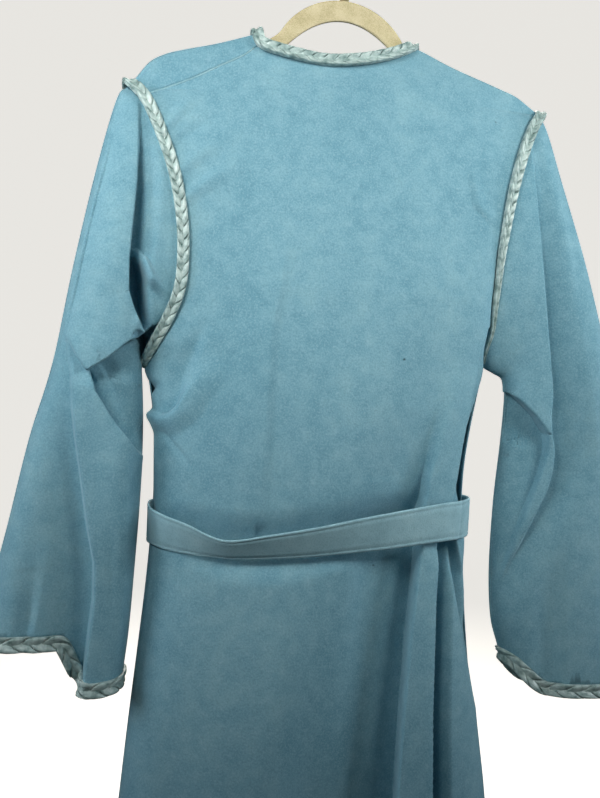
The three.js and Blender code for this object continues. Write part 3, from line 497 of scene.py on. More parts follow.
FRONT_FOLDS = [
    Fold("left valley", (
        (-165, -1430, -20, 50, 60), (-140, -690, 0, 40, 40),
    )),
    Fold("middle valley", (
        (10, -1430, -16, 80, 80), (0, -720, 0, 60, 60),
    )),
    Fold("right valley", (
        (176, -1430, -20, 50, 50), (140, -690, 0, 34, 34),
    )),
    Fold("drape from the left shoulder", (
        (-150, -240, 0, 20, 18), (-132, -370, -3, 22, 16), (-108, -520, -5, 24, 16),
        (-96, -640, -4, 22, 18), (-104, -860, 0, 30, 26),
    )),
    Fold("drape from the right shoulder", (
        (152, -230, 0, 18, 20), (138, -380, -3, 16, 22), (112, -540, -5, 15, 24), (98, -650, -4, 18, 22),
        (110, -880, 0, 26, 30),
    )),
    Fold("gather at the waist", (
        (-40, -560, 0, 16, 16), (-46, -640, -3.5, 18, 18), (-56, -800, 0, 24, 24),
    )),
    Fold("second gather at the waist", (
        (44, -570, 0, 16, 16), (50, -645, -3.5, 18, 18), (60, -790, 0, 24, 24),
    )),
]
SLEEVE_FOLDS = {
    Side.LEFT: [
        Fold("hollow beside the armhole", (
            (-203, -450, -16, 6, 16), (-214, -433, -32, 5, 22), (-222, -414, -40, 5, 26),
            (-223, -382, -42, 5, 30), (-220, -346, -40, 5, 30), (-216, -304, -34, 5, 28),
            (-214, -262, -22, 5, 26), (-213, -220, -8, 6, 20), (-214, -200, 0, 8, 16),
        ), lap=7.0),
        Fold("pit between the hollow and its tuck", (
            (-216, -384, -20, 9, 9), (-211, -402, -60, 11, 12), (-208, -426, -60, 10, 10),
            (-205, -440, -20, 8, 8),
        )),
        Fold("pit under the curl", (
            (-214, -454, -16, 6, 7), (-206, -457, -50, 8, 10), (-197, -463, -40, 8, 10),
        )),
        Fold("tuck at the foot of that hollow", (
            (-214, -372, 6, 5, 8), (-205, -382, 20, 5, 9), (-196, -399, 18, 5, 10), (-182, -414, 6, 5, 9),
        )),
        Fold("lip over the forearm", (
            (-276, -467, -2, 4, 10), (-269, -479, -9, 5, 18), (-259, -491, -12, 5, 24),
        ), lap=5.0),
        Fold("hollow between the lip and the forearm", (
            (-194, -446, -34, 110, 5), (-221, -464, -33, 110, 5), (-240, -481, -30, 110, 5),
            (-258, -492, -26, 110, 4), (-250, -517, -28, 110, 4), (-234, -543, -31, 110, 4),
            (-216, -564, -29, 110, 4), (-198, -580, -13, 110, 5),
        ), lap=7.0),
        Fold("curl at the lip's inner end", (
            (-218, -446, 1, 6, 6), (-211, -439, 4, 6, 6), (-204, -444, 4, 6, 6), (-201, -453, 1, 6, 6),
        )),
        Fold("crease down the hollow", (
            (-247, -478, -2, 12, 4), (-236, -500, -4, 16, 4), (-224, -524, -4, 16, 4),
            (-213, -548, -2, 12, 4),
        )),
        Fold("outer half, turned away behind the long fold", (
            (-252, -812, -30, 90, 7), (-244, -723, -28, 86, 7), (-245, -686, -27, 84, 7),
            (-252, -655, -25, 76, 7), (-262, -594, -20, 60, 6), (-268, -561, -17, 52, 6),
            (-275, -510, -10, 34, 5), (-280, -466, -4, 20, 5),
        ), lap=3.0),
        Fold("welt along the outer fold", (
            (-233, -206, -1, 18, 3), (-245, -284, -4, 24, 4), (-256, -337, -4.5, 26, 4),
            (-271, -423, -4.5, 26, 4), (-281, -470, 0, 20, 4),
        )),
        Fold("slack across the elbow", (
            (-262, -395, 0, 24, 22), (-248, -425, -3, 28, 22), (-254, -450, -4, 26, 20),
            (-268, -472, 0, 16, 14),
        )),
        Fold("dark break over the cuff", (
            (-308, -770, -5, 16, 9), (-303, -738, -6, 18, 9), (-302, -706, -3, 20, 12),
            (-300, -640, 0, 22, 18),
        )),
        Fold("flat face of the forearm", (
            (-222, -545, 0, 12, 30), (-216, -590, 7, 12, 44), (-212, -640, 10, 12, 50),
            (-212, -720, 10, 12, 50), (-215, -800, 7, 12, 46),
        )),
        Fold("soft roll inside the lower sleeve", (
            (-226, -800, 0, 12, 10), (-224, -740, -3, 14, 10), (-228, -660, -2, 16, 10),
            (-232, -600, 0, 16, 10),
        )),
    ],
    Side.RIGHT: [
        Fold("outer half behind the long straight fold", (
            (217, -203, -3, 14, 4), (226, -311, -14, 32, 4), (240, -434, -20, 42, 4),
            (254, -540, -22, 50, 4), (257, -560, -22, 50, 4), (256, -580, -21, 48, 4),
            (251, -604, -18, 46, 4), (235, -646, -12, 44, 6), (218, -686, -8, 36, 8),
            (207, -722, -3, 30, 12), (203, -752, 0, 24, 14),
        ), lap=3.0),
        Fold("hollow under the upper sleeve", (
            (150, -468, -30, 5, 150), (178, -473, -32, 5, 150), (209, -498, -34, 5, 150),
            (233, -522, -32, 5, 150), (245, -543, -26, 5, 150), (246, -560, -20, 4, 140),
            (242, -580, -18, 4, 130), (235, -602, -15, 4, 110), (218, -645, -10, 5, 90),
            (205, -686, -6, 6, 60), (196, -720, -3, 8, 40), (194, -752, 0, 10, 30),
        ), lap=7.0),
        Fold("soft rise down the outer sleeve", (
            (262, -226, 0, 12, 16), (285, -335, 4, 20, 22), (304, -447, 5, 24, 28),
            (322, -560, 3, 30, 30), (340, -700, 0, 30, 30),
        )),
        Fold("welt along the underarm fold", (
            (220, -806, -3, 2.5, 18), (212, -783, -4, 2.5, 20), (200, -748, -4, 4, 20),
            (200, -724, -3.5, 5, 20), (208, -690, -2, 6, 16), (222, -650, 0, 6, 12),
        )),
        Fold("valley over the cuff", (
            (262, -826, -7, 26, 20), (258, -770, -7, 28, 20), (256, -720, -4, 26, 20),
            (262, -660, 0, 20, 18),
        )),
        Fold("second valley over the cuff", (
            (352, -850, -6, 26, 26), (336, -760, -5, 26, 26), (318, -660, 0, 24, 24),
        )),
    ],
}
SLEEVE_FAR_FOLDS = {
    Side.LEFT: [
        Fold("break inside the elbow", (
            (-214, -452, 0, 8, 16), (-238, -470, -9, 7, 26), (-262, -462, -7, 7, 24),
            (-284, -440, 0, 8, 18),
        )),
        Fold("valley down the forearm", (
            (-262, -800, -10, 26, 18), (-258, -680, -8, 26, 16), (-252, -540, 0, 20, 14),
        )),
        Fold("pull under the shoulder", (
            (-206, -300, -6, 10, 20), (-222, -380, -5, 8, 20), (-226, -440, 0, 8, 16),
        )),
    ],
    Side.RIGHT: [
        Fold("break inside the elbow", (
            (208, -486, 0, 18, 8), (238, -512, -9, 28, 7), (272, -510, -6, 24, 7), (300, -486, 0, 18, 8),
        )),
        Fold("valley down the forearm", (
            (330, -850, -10, 30, 26), (300, -700, -8, 28, 22), (276, -560, 0, 20, 18),
        )),
        Fold("pull under the shoulder", (
            (222, -290, -5, 20, 10), (238, -380, -5, 22, 8), (246, -460, 0, 18, 8),
        )),
    ],
}


# ---- the robe's form ----
def edge_of(side: Side, face: Face, z: Array) -> tuple[Array, Array]:
    """Finds where a face of the body ends at one side: the armhole, or the side seam below it.

    Args:
        side: The side of the body.
        face: The back or the fronts.
        z: Heights.

    Returns:
        The x and the y of the edge at each height.
    """
    hole = ARMHOLE[side]
    below = z < hole.at[0]
    x = np.where(below, SIDE_SEAM.read(side.value, z), hole.read(f"{face.value}_x", z))
    return x, np.where(below, 0.0, hole.read(f"{face.value}_y", z))


def face_y(face: Face, x: Array, z: Array) -> Array:
    """Returns the depth of a face of the body at (x, z): negative behind, positive before."""
    left_x, left_y = edge_of(Side.LEFT, face, z)
    right_x, right_y = edge_of(Side.RIGHT, face, z)
    f = np.clip((x - left_x) / (right_x - left_x), 0.0, 1.0)
    power = np.where(f < 0.5, BODY_DEPTH.read("left", z), BODY_DEPTH.read("right", z))
    crown = np.maximum(1 - np.abs(2 * f - 1) ** CROWN_POWER, 0.0) ** power
    ridge = RIDGE.read("z", x)
    below = np.maximum(ridge - z, 0.0)
    fall = np.minimum(below / (ridge - CHEST_Z), 1.0) ** FALL_POWER
    over = np.minimum(below / SHOULDER_CAP, 1.0)
    cap = SHOULDER_CAP * np.sqrt(over * (2 - over) * crown)
    seam = mix(left_y, right_y, f)
    depth = np.maximum(BODY_DEPTH.read(face.value, z) * fall - np.abs(seam), 0.0)
    return seam + (-1 if face is Face.BACK else 1) * (depth * crown + cap)


def ring_share(step: Any) -> Any:
    """Returns the share of the way from an armhole's tip to its underarm at a step."""
    return (1 - np.cos(math.pi * np.asarray(step, float) / RING)) / 2


def settled(row: Array) -> Array:
    """Returns the share of the shoulder line's shape that is left in a row of a panel."""
    return np.maximum(1 - row / (RING + 2), 0.0) ** SETTLE_POWER


def panel_rows(above: int, below: int) -> Array:
    """Returns a panel's row numbers, in this many steps above the underarm and below it."""
    upper = np.linspace(0, RING, above + 1)
    lower = np.linspace(RING, RING + SKIRT_ROWS, below + 1)
    return np.concatenate([upper, lower[1:]])[:, None]


def side_height(side: Side, row: Array, top: float | None = None) -> Array:
    """Finds the height of a panel's rows at one side, from the shoulder to the hem.

    Args:
        side: The side of the body.
        row: Row numbers, which may lie between the whole ones.
        top: The height of the first row, where it isn't the armhole's tip.

    Returns:
        The heights.
    """
    tip, under = ARMHOLE[side].at[-1], ARMHOLE[side].at[0]
    upper = mix(tip, under, ring_share(np.minimum(row, RING)))
    if top is not None:
        upper = np.where(row < 2, mix(top, mix(tip, under, ring_share(2)), row / 2), upper)
    share = np.clip((row - RING) / SKIRT_ROWS, 0.0, 1.0) ** SKIRT_POWER
    return np.where(row <= RING, upper, mix(under, HEM_Z, share))


def seam_point(side: Side, face: Face, z: Array) -> tuple[Array, Array]:
    """Returns the x and y of a panel's edge, which stops just short of its seam line."""
    x, y = edge_of(side, face, z)
    inset = SEAM if side is Side.LEFT else -SEAM
    apart = -SEAM if face is Face.BACK else SEAM
    beside_armhole = z > ARMHOLE[side].at[0]
    return np.where(beside_armhole, x + inset, x), np.where(beside_armhole, y, apart)


def grid_normals(points: Array) -> Array:
    """Returns a unit normal for each point of a grid, rows by columns by 3."""
    return unit(np.cross(np.gradient(points, axis=1), np.gradient(points, axis=0)))


def folded(points: Array, folds: Sequence[Fold], face: Face, waves: Unevenness) -> Array:
    """Presses a panel's folds and waves into it, level, along its own normals."""
    out = grid_normals(points)
    out[..., 2] = 0.0
    out = unit(out)
    side = -1 if face is Face.BACK else 1
    turn = np.where(out[..., 1] * side < 0, -1.0, 1.0)
    x, z = points[..., 0], points[..., 2]
    moves = all_moves(folds, x, z)
    moved = points + out * (turn * (moves[..., 0] + waves.shift(x, z)))[..., None]
    moved[..., 0] += moves[..., 1]
    moved[..., 2] += moves[..., 2]
    return moved


def eased(count: int, ease: float) -> Array:
    """Returns steps from 0 to 1 that lie closer together at both ends."""
    t = np.linspace(0.0, 1.0, count + 1)
    return mix(t, (1 - np.cos(math.pi * t)) / 2, ease)


# ---- meshes ----
def placed(name: str, data: bpy.types.ID) -> Piece:
    """Makes an object of a mesh, a camera or a lamp and puts it in the scene."""
    item = bpy.data.objects.new(name, data)
    bpy.context.scene.collection.objects.link(item)
    return item


def grid_object(
    name: str,
    points: Array,
    close_across: bool = False,
    close_along: bool = False,
    lengths: tuple[float, float] = (1.0, 1.0),
) -> Piece:
    """Makes a grid and lays its vertices at the given points.

    Args:
        name: The piece's name.
        points: Where they go, rows by columns by 3, in millimetres.
        close_across: Whether the last column lies on the first one, and is merged with it.
        close_along: The same for the rows.
        lengths: The size in millimetres that the UV map gives the grid, across and along.

    Returns:
        The object, at the origin, with its place in its mesh.
    """
    rows, cols = points.shape[:2]
    bm = bmesh.new()
    bmesh.ops.create_grid(bm, x_segments=cols - 1, y_segments=rows - 1, size=0.5)
    mesh = bpy.data.meshes.new(name)
    bm.to_mesh(mesh)
    bm.free()
    mesh.vertices.foreach_set("co", (points * MM).astype(np.float32).ravel())
    across = np.tile(np.linspace(0, lengths[0] * MM, cols), rows)
    along = np.repeat(np.linspace(0, lengths[1] * MM, rows), cols)
    corner = np.zeros(len(mesh.loops), np.int32)
    mesh.loops.foreach_get("vertex_index", corner)
    uv = mesh.uv_layers.new(name="UVMap")
    uv.data.foreach_set("uv", np.stack([across[corner], along[corner]], 1).astype(np.float32).ravel())
    if close_across or close_along:
        bm = bmesh.new()
        bm.from_mesh(mesh)
        bmesh.ops.remove_doubles(bm, verts=bm.verts, dist=1e-7)
        bmesh.ops.recalc_face_normals(bm, faces=bm.faces)
        bm.to_mesh(mesh)
        bm.free()
    mesh.shade_smooth()
    return placed(name, mesh)


def thicken(piece: Piece, thick: float, most: int = 92_000) -> None:
    """Gives a sheet its thickness, half to each side, after thinning its flat stretches.

    Args:
        piece: The sheet.
        thick: The thickness in millimetres.
        most: About how many triangles are left on one side.
    """
    count = 2 * len(piece.data.polygons)
    if count > most:
        thin = piece.modifiers.new("thinning", "DECIMATE")
        thin.ratio = most / count
        thin.use_collapse_triangulate = True
    wall = piece.modifiers.new("thickness", "SOLIDIFY")
    wall.thickness = thick * MM
    wall.offset = 0.0
    wall.use_rim = True


def finish_piece(
    piece: Piece, material: Material, slot: str, *nodes: str
) -> Piece:
    """Dresses a piece, seats it on the robe's body and hides the imported parts of the nodes it stands for.
    """
    piece.data.materials.clear()
    piece.data.materials.append(material)
    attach(piece, BODY)
    if nodes:
        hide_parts(*nodes)
    log.info("%s: %d faces", piece.name, len(piece.data.polygons))
    return piece


# ---- the panels ----
@dataclass
class BackPanel:
    """The back, one panel from the shoulder seams to the hem."""

    rows_above: int = 270
    rows_below: int = 430
    columns: int = 330
    flat: tuple[float, float] = (0.66, 1.33)
    area: float = 0.64

    def points(self) -> Array:
        """Returns the grid of the panel, from the shoulders down and from left to right."""
        row = panel_rows(self.rows_above, self.rows_below)
        f = eased(self.columns, 0.55)[None, :]
        first, last = BACK_TOP.at[0], BACK_TOP.at[-1]
        left_z = side_height(Side.LEFT, row, BACK_TOP.values["z"][0])
        right_z = side_height(Side.RIGHT, row)
        rise = BACK_TOP.read("z", mix(first, last, f)) - mix(left_z[0], right_z[0], f)
        left_x, left_y = seam_point(Side.LEFT, Face.BACK, left_z)
        right_x, right_y = seam_point(Side.RIGHT, Face.BACK, right_z)
        x = mix(left_x, right_x, f)
        z = mix(left_z, right_z, f) + rise * settled(row)
        y = face_y(Face.BACK, x, z)
        y[1:, :1], y[1:, -1:] = left_y[1:], right_y[1:]
        return folded(np.stack([x, y, z], -1), BACK_FOLDS, Face.BACK, Unevenness())

    def build(self, material: Material, points: Array) -> Piece:
        piece = grid_object("back_panel", points)
        thicken(piece, CLOTH)
        finish_piece(piece, material, "cloth", "back")
        return piece


@dataclass
class FrontPanel:
    """One front, from its armhole and side seam to its free edge."""

    side: Side
    layer: float
    rows_above: int = 84
    rows_below: int = 170
    columns: int = 96
    over_rows: int = 12
    edge_margin: float = 12.0
    flat: tuple[float, float] = (0.41, 1.37)
    area: float = 0.38

    def over_shoulder(self, ridge: Array, f: Array) -> Array:
        """Returns the rows that run over the left shoulder to the seam behind it.

        Args:
            ridge: The panel's row that lies on top of the shoulder.
            f: The shares across the panel.

        Returns:
            The rows, from the seam up to the ridge.
        """
        t = np.linspace(0, 1, self.over_rows + 1)[:-1, None]
        seam_x = mix(BACK_TOP.at[0], NECK_LEFT_X, f)
        x = mix(seam_x, ridge[:, 0], t)
        z = mix(BACK_TOP.read("z", seam_x) + SEAM, ridge[:, 2], t)
        return np.stack([x, face_y(Face.BACK, x, z), z], -1)

    def points(self) -> Array:
        """Returns the grid of the panel, from the shoulder down and from the side inwards."""
        row = panel_rows(self.rows_above, self.rows_below)
        t = np.linspace(0.0, 1.0, self.columns + 1)[None, :]
        f = mix(t, 1 - np.cos(t * math.pi / 2), 0.55)
        tip = ARMHOLE[self.side].at[-1]
        tip_x = ARMHOLE[self.side].read("front_x", tip)
        neck_x = FRONT_EDGE.read(self.side.value, FRONT_EDGE.at[-1])
        neck_z = RIDGE.read("z", neck_x)
        rise = RIDGE.read("z", mix(tip_x, neck_x, f)) - mix(tip, neck_z, f)
        side_z = side_height(self.side, row)
        seam_x, seam_y = seam_point(self.side, Face.FRONT, side_z)
        edge_z = mix(neck_z, HEM_Z, (tip - side_z) / (tip - HEM_Z))
        x = mix(seam_x, FRONT_EDGE.read(self.side.value, edge_z), f)
        z = mix(side_z, edge_z, f) + rise * settled(row)
        inner = FRONT_EDGE.read("left", z) + self.edge_margin
        lift = self.layer * (1 - smooth_between(x, inner, np.maximum(seam_x, inner + 1)))
        y = face_y(Face.FRONT, x, z) + lift
        y[1:, :1] = seam_y[1:]
        grid = np.stack([x, y, z], -1)
        if self.side is Side.LEFT:
            grid = np.concatenate([self.over_shoulder(grid[0], f[0]), grid])
        return folded(grid, FRONT_FOLDS, Face.FRONT, Unevenness(0.7))

    def build(self, material: Material, points: Array) -> Piece:
        name = f"front_{self.side.value}"
        piece = grid_object(f"{name}_panel", points)
        thicken(piece, CLOTH)
        finish_piece(piece, material, "cloth", name)
        return piece


@dataclass
class Sleeve:
    """One wide sleeve, a tube from the armhole to the cuff."""

    side: Side
    rings: int = 400
    near_steps: int = 330
    far_steps: int = 110
    crowding: float = 1.1  # above 1 the rings lie closer near the armhole

    def form(self, k: Array, step: Array, face: Face) -> Array:
        """Finds points of the plain sleeve, which near the armhole takes its outline.

        Args:
            k: Rows of the sleeve's table, which may lie between the whole ones.
            step: Steps down one side of the ring, from 0 at the top.
            face: The near side, behind, or the far one.

        Returns:
            The points.
        """
        table, hole = SLEEVE[self.side], ARMHOLE[self.side]
        first = {name: values[0] for name, values in table.values.items()}
        last = table.at[-1]
        deep = "near" if face is Face.BACK else "far"
        sign = -1 if face is Face.BACK else 1
        down = ring_share(step)
        wave = np.sin(math.pi * step / RING).clip(0, 1)
        full = sign * wave ** SLEEVE_POWER
        low, high = CUFF_STEP[self.side]
        towards_cuff = smooth_between(k / last, 0.0, 1.0)
        stepped = mix(down, smooth_between(down, low, high), towards_cuff)
        hug = (1 - np.minimum(k / HUG_RINGS, 1.0)) ** 2
        hole_z = mix(hole.at[-1], hole.at[0], down)
        off_x = hole.read(f"{face.value}_x", hole_z) - mix(first["top_x"], first["under_x"], down)
        off_y = hole.read(f"{face.value}_y", hole_z) - first[deep] * full
        read = table.read
        x = mix(read("top_x", k), read("under_x", k), down) + off_x * hug
        y = read("y", k) + read(deep, k) * full + off_y * hug
        z = mix(read("top_z", k), read("under_z", k), stepped) - read("sag", k) * wave
        return np.stack(np.broadcast_arrays(x, y, z), -1)

    def pressed(self, points: Array, other: Array, folds: Sequence[Fold], free: Array) -> Array:
        """Presses folds into one side of the sleeve, never through to its other side.

        Args:
            points: The side that is pressed.
            other: The points opposite.
            folds: Its folds.
            free: The share of each fold that is left near the armhole.

        Returns:
            The pressed points.
        """
        x, z = points[..., 0], points[..., 2]
        moves = all_moves(folds, x, z) * free[..., None]
        push = -moves[..., 0] - Unevenness(0.7).shift(x, z) * free
        gap = other[..., 1] - points[..., 1]
        room = FOLD_ROOM * np.maximum(np.abs(gap), 1e-3)
        inwards = room * (1 - np.exp(-np.maximum(push, 0.0) / room))
        outwards = np.minimum(push, 0.0) * np.minimum(room / RISE_ROOM, 1.0)
        moved = points.copy()
        moved[..., 1] += np.sign(gap) * (inwards + outwards)
        moved[..., 0] += moves[..., 1]
        moved[..., 2] += moves[..., 2]
        return moved

    def points(self) -> Array:
        """Returns the rings, down the near side and up the far one, closed on themselves."""
        last = SLEEVE[self.side].at[-1]
        k = (np.linspace(0, 1, self.rings + 1) ** self.crowding * last)[:, None]
        free = 1 - (1 - np.minimum(k / HUG_RINGS, 1.0)) ** 2
        down = np.linspace(0, RING, self.near_steps + 1)[None, :]
        up = np.linspace(RING, 0, self.far_steps + 1)[None, 1:]
        near = self.pressed(
            self.form(k, down, Face.BACK), self.form(k, down, Face.FRONT),
            SLEEVE_FOLDS[self.side], free)
        far = self.pressed(
            self.form(k, up, Face.FRONT), self.form(k, up, Face.BACK),
            SLEEVE_FAR_FOLDS[self.side], free)
        rings = np.concatenate([near, far], 1)
        rings[:, -1] = rings[:, 0]
        rings[0, :, 0] += -SEAM if self.side is Side.LEFT else SEAM
        return rings

    def build(self, material: Material, points: Array) -> Piece:
        name = f"sleeve_{self.side.value}"
        piece = grid_object(f"{name}_cloth", points, close_across=True)
        thicken(piece, CLOTH)
        finish_piece(piece, material, "cloth", name)
        return piece


# ---- the plaited trim ----
@dataclass
class Route:
    """The line that a trim follows on the cloth, with the way out and its share of width."""

    points: Array
    outs: Array
    wide: Array
    closed: bool

    def even(self, spacing: float, soften: float) -> "Route":
        """Lays the route out in even steps and rounds its corners.

        Args:
            spacing: The length of a step in millimetres.
            soften: The length over which corners are rounded.

        Returns:
            The new route, whose last point lies on the first one if it is closed.
        """
        columns = np.concatenate([self.points, self.outs, self.wide[:, None]], 1)
        if self.closed:
            columns = np.concatenate([columns, columns[:1]])
        run = np.concatenate([[0], np.cumsum(np.linalg.norm(np.diff(columns[:, :3], axis=0), axis=1))])
        count = max(int(round(run[-1] / spacing)), 8)
        where = np.linspace(0, run[-1], count + 1)
        laid = np.stack([np.interp(where, run, column) for column in columns.T], 1)
        width = max(int(soften / spacing), 1)
        bell = np.hanning(2 * width + 3)[1:-1]
        bell /= bell.sum()
        if self.closed:
            padded = np.concatenate([laid[-width - 1:-1], laid, laid[1:width + 1]])
        else:
            start = 2 * laid[0] - laid[width:0:-1]
            end = 2 * laid[-1] - laid[-2:-width - 2:-1]
            padded = np.concatenate([start, laid, end])
        laid = np.stack([np.convolve(column, bell, "valid") for column in padded.T], 1)
        if self.closed:
            laid[-1] = laid[0]
        return Route(laid[:, :3], unit(laid[:, 3:6]), laid[:, 6], self.closed)


@dataclass(frozen=True)
class Plait:
    """A flat plait of three folded strips: its width, height and the length of one leaf.

    Each strip crosses to the middle on top, dives under the next one, folds round the other
    edge and comes back on top, so that its leaves fill the face with thin gaps between them.
    """

    width: float = 13.0
    height: float = 7.0
    leaf: float = 12.8
    spacing: float = 1.25
    around: int = 12
    fill: float = 0.96  # share of the leaf's length that the strip covers
    plump: float = 0.62  # below 1 a strip's section is squarer than an ellipse
    crest: float = 0.50  # share of the half height that the strip's own thickness takes
    inset: float = 0.3  # from the plait's edge to the middle of a strip that folds round it

    def strand(self, route: Route, number: int) -> Array:
        """Works out one strip, whose cross lines run along the plait.

        Args:
            route: The even route of the plait.
            number: 0, 1 or 2.

        Returns:
            The rings of the strip's skin.
        """
        gap = np.linalg.norm(np.diff(route.points, axis=0), axis=1)
        run = np.concatenate([[0], np.cumsum(gap)])
        period = 3 * self.leaf
        if route.closed:
            period = run[-1] / max(round(run[-1] / period), 1)
        along = np.gradient(route.points, axis=0)
        if route.closed:
            along[0] = along[-1] = (route.points[1] - route.points[-2]) / 2
        along = unit(along)
        out = unit(route.outs - along * (route.outs * along).sum(1, keepdims=True))
        across = np.cross(along, out)
        phase = (2 * math.pi * (run / period + number / 3))[:, None]
        angle = np.linspace(0, 2 * math.pi, self.around + 1)[None, :]
        lengthwise = squared_off(np.cos(angle), self.plump)
        upright = squared_off(np.sin(angle), self.plump)
        where = run[:, None] + self.fill * period / 6 * lengthwise
        where = where % run[-1] if route.closed else np.clip(where, 0, run[-1])

        def at(columns: Array) -> Array:
            """Reads columns of the route at each point's own place along it."""
            return np.stack([np.interp(where, run, column) for column in columns.T], -1)

        wide, tall = at(route.wide[:, None]), np.sqrt(at(route.wide[:, None]))
        half = self.height / 2
        swing = (self.width / 2 - self.inset) * np.cos(phase)
        rise = half * (1 - self.crest) * np.sin(2 * phase) + half * self.crest * upright
        return (at(route.points) + at(across) * swing[..., None] * wide
                + at(out) * rise[..., None] * tall)

    def build(
        self, name: str, route: Route, material: Material, node: str, soften: float = 6.0
    ) -> Piece:
        """Makes the three strands as one piece, whose route has its corners rounded."""
        even = route.even(self.spacing, soften)
        strands = []
        for number in range(3):
            rings = self.strand(even, number)
            strand = grid_object(
                f"{name}_strand_{number}", rings, close_across=True, close_along=route.closed,
                lengths=(math.pi * 0.4 * self.width, len(rings) * self.spacing))
            if not route.closed:
                close_ends(strand)
            strands.append(strand)
        piece = joined(name, strands)
        return finish_piece(piece, material, "satin_plait", node)


def close_ends(piece: Piece) -> None:
    """Closes the open ends of a tube."""
    bm = bmesh.new()
    bm.from_mesh(piece.data)
    open_edges = [edge for edge in bm.edges if edge.is_boundary]
    bmesh.ops.holes_fill(bm, edges=open_edges, sides=0)
    bmesh.ops.recalc_face_normals(bm, faces=bm.faces)
    bm.to_mesh(piece.data)
    bm.free()
    piece.data.shade_smooth()


def joined(name: str, parts: Sequence[Piece]) -> Piece:
    """Joins pieces into one mesh object under a new name."""
    bm = bmesh.new()
    for part in parts:
        bm.from_mesh(part.data)
    mesh = bpy.data.meshes.new(name)
    bm.to_mesh(mesh)
    bm.free()
    for part in parts:
        old = part.data
        bpy.data.objects.remove(part)
        bpy.data.meshes.remove(old)
    mesh.shade_smooth()
    return placed(name, mesh)


def armhole_route(side: Side, plait: Plait, stand: float = -0.2) -> Route:
    """Works out the route of an armhole's trim, all round it."""
    hole, trim = ARMHOLE[side], ARMHOLE_TRIM[side]
    share = (1 - np.cos(math.pi * np.linspace(0, 1, 241))) / 2
    z_near = mix(hole.at[-1], hole.at[0], share)
    z_far = z_near[-2:0:-1]
    z = np.concatenate([z_near, z_far])
    behind = np.arange(len(z)) < len(z_near)
    x = np.where(behind, hole.read("back_x", z), hole.read("front_x", z))
    y = np.where(behind, hole.read("back_y", z), hole.read("front_y", z))
    line = np.stack([x, y, z], -1)
    along = np.roll(line, -1, axis=0) - np.roll(line, 1, axis=0)
    outs = unit(np.cross(along, [1.0, 0.0, 0.0]))
    aside = np.abs(outs[:, 1]) * np.tan(np.radians(trim.read("turn", z)))
    outs[:, 0] = np.where(behind, -aside if side is Side.LEFT else aside, 0.0)
    outs = unit(outs)
    wide = trim.read("wide", z)
    away = plait.height * np.sqrt(wide) / 2 + CLOTH / 2 + stand + trim.read("lift", z)
    points = line + outs * away[:, None]
    points[:, 0] += trim.read("slip", z)
    return Route(points, outs, wide, True)


def cuff_route(rings: Array, plait: Plait, stand: float = -1.2) -> Route:
    """Works out the route of a cuff's trim, which hangs below the edge of the cloth."""
    cuff, inside = rings[-1, :-1], rings[-9, :-1]
    along = unit(np.roll(cuff, -1, axis=0) - np.roll(cuff, 1, axis=0))
    down = cuff - inside
    down = unit(down - along * (down * along).sum(1, keepdims=True))
    points = cuff + down * (plait.width / 2 + stand)
    return Route(points, np.cross(along, down), np.ones(len(points)), True)


def neck_route(back: Array, left: Array, right: Array, plait: Plait) -> Route:
    """Works out the route of the neck's trim over both shoulders.

    It starts at the belt, runs up the right front's edge, round the back of the neck and
    down the left front's edge until the right front covers it.

    Args:
        back: The back's grid.
        left: The left front's grid.
        right: The right front's grid.
        plait: The plait's sizes.

    Returns:
        The route.
    """
    belt_top, covered = -622.0, -300.0  # the heights where the trim starts and ends
    ridge_band, ridge_lift = 26.0, 1.2  # this near the shoulders' top it is lifted so much
    sink = 0.2
    away = plait.height / 2 + CLOTH / 2 - sink
    points, outs = [], []

    def follow(edge: Array, normals: Array, keep: Array) -> None:
        """Adds the kept points of an edge, moved out along their normals."""
        near_ridge = edge[:, 2] > RIDGE.read("z", NECK_LEFT_X) - ridge_band
        lift = away + np.where(near_ridge, ridge_lift, 0.0)
        points.append((edge + normals * lift[:, None])[keep])
        outs.append(normals[keep])

    def facing(grid: Array, side: int) -> Array:
        """Returns a grid's normals, turned to the given side of the hanger."""
        normals = grid_normals(grid)
        return normals * (-1.0 if normals[-1, -1, 1] * side < 0 else 1.0)

    edge, normals = right[::-1, -1], facing(right, 1)[::-1, -1]
    keep = (edge[:, 2] > belt_top) & (np.arange(len(edge)) < len(edge) - 3)
    follow(edge, normals, keep)
    top = np.array([[NECK_RIGHT_X, 0.0, RIDGE.read("z", NECK_RIGHT_X)]])
    follow(top, unit(np.array([[-0.2, 0, 1.0]])), np.array([True]))
    edge, normals = back[0, ::-1], facing(back, -1)[0, ::-1]
    margin = 0.6 * plait.width
    follow(edge, normals, (edge[:, 0] < NECK_RIGHT_X - margin) & (edge[:, 0] > NECK_LEFT_X + margin))
    edge, normals = left[:, -1], facing(left, 1)[:, -1]
    follow(edge, normals, (edge[:, 2] > covered) & (np.arange(len(edge)) > 1))
    line = np.concatenate(points)
    first = Route(line, np.concatenate(outs), np.ones(len(line)), False)
    return first.even(2.0, 12.0)


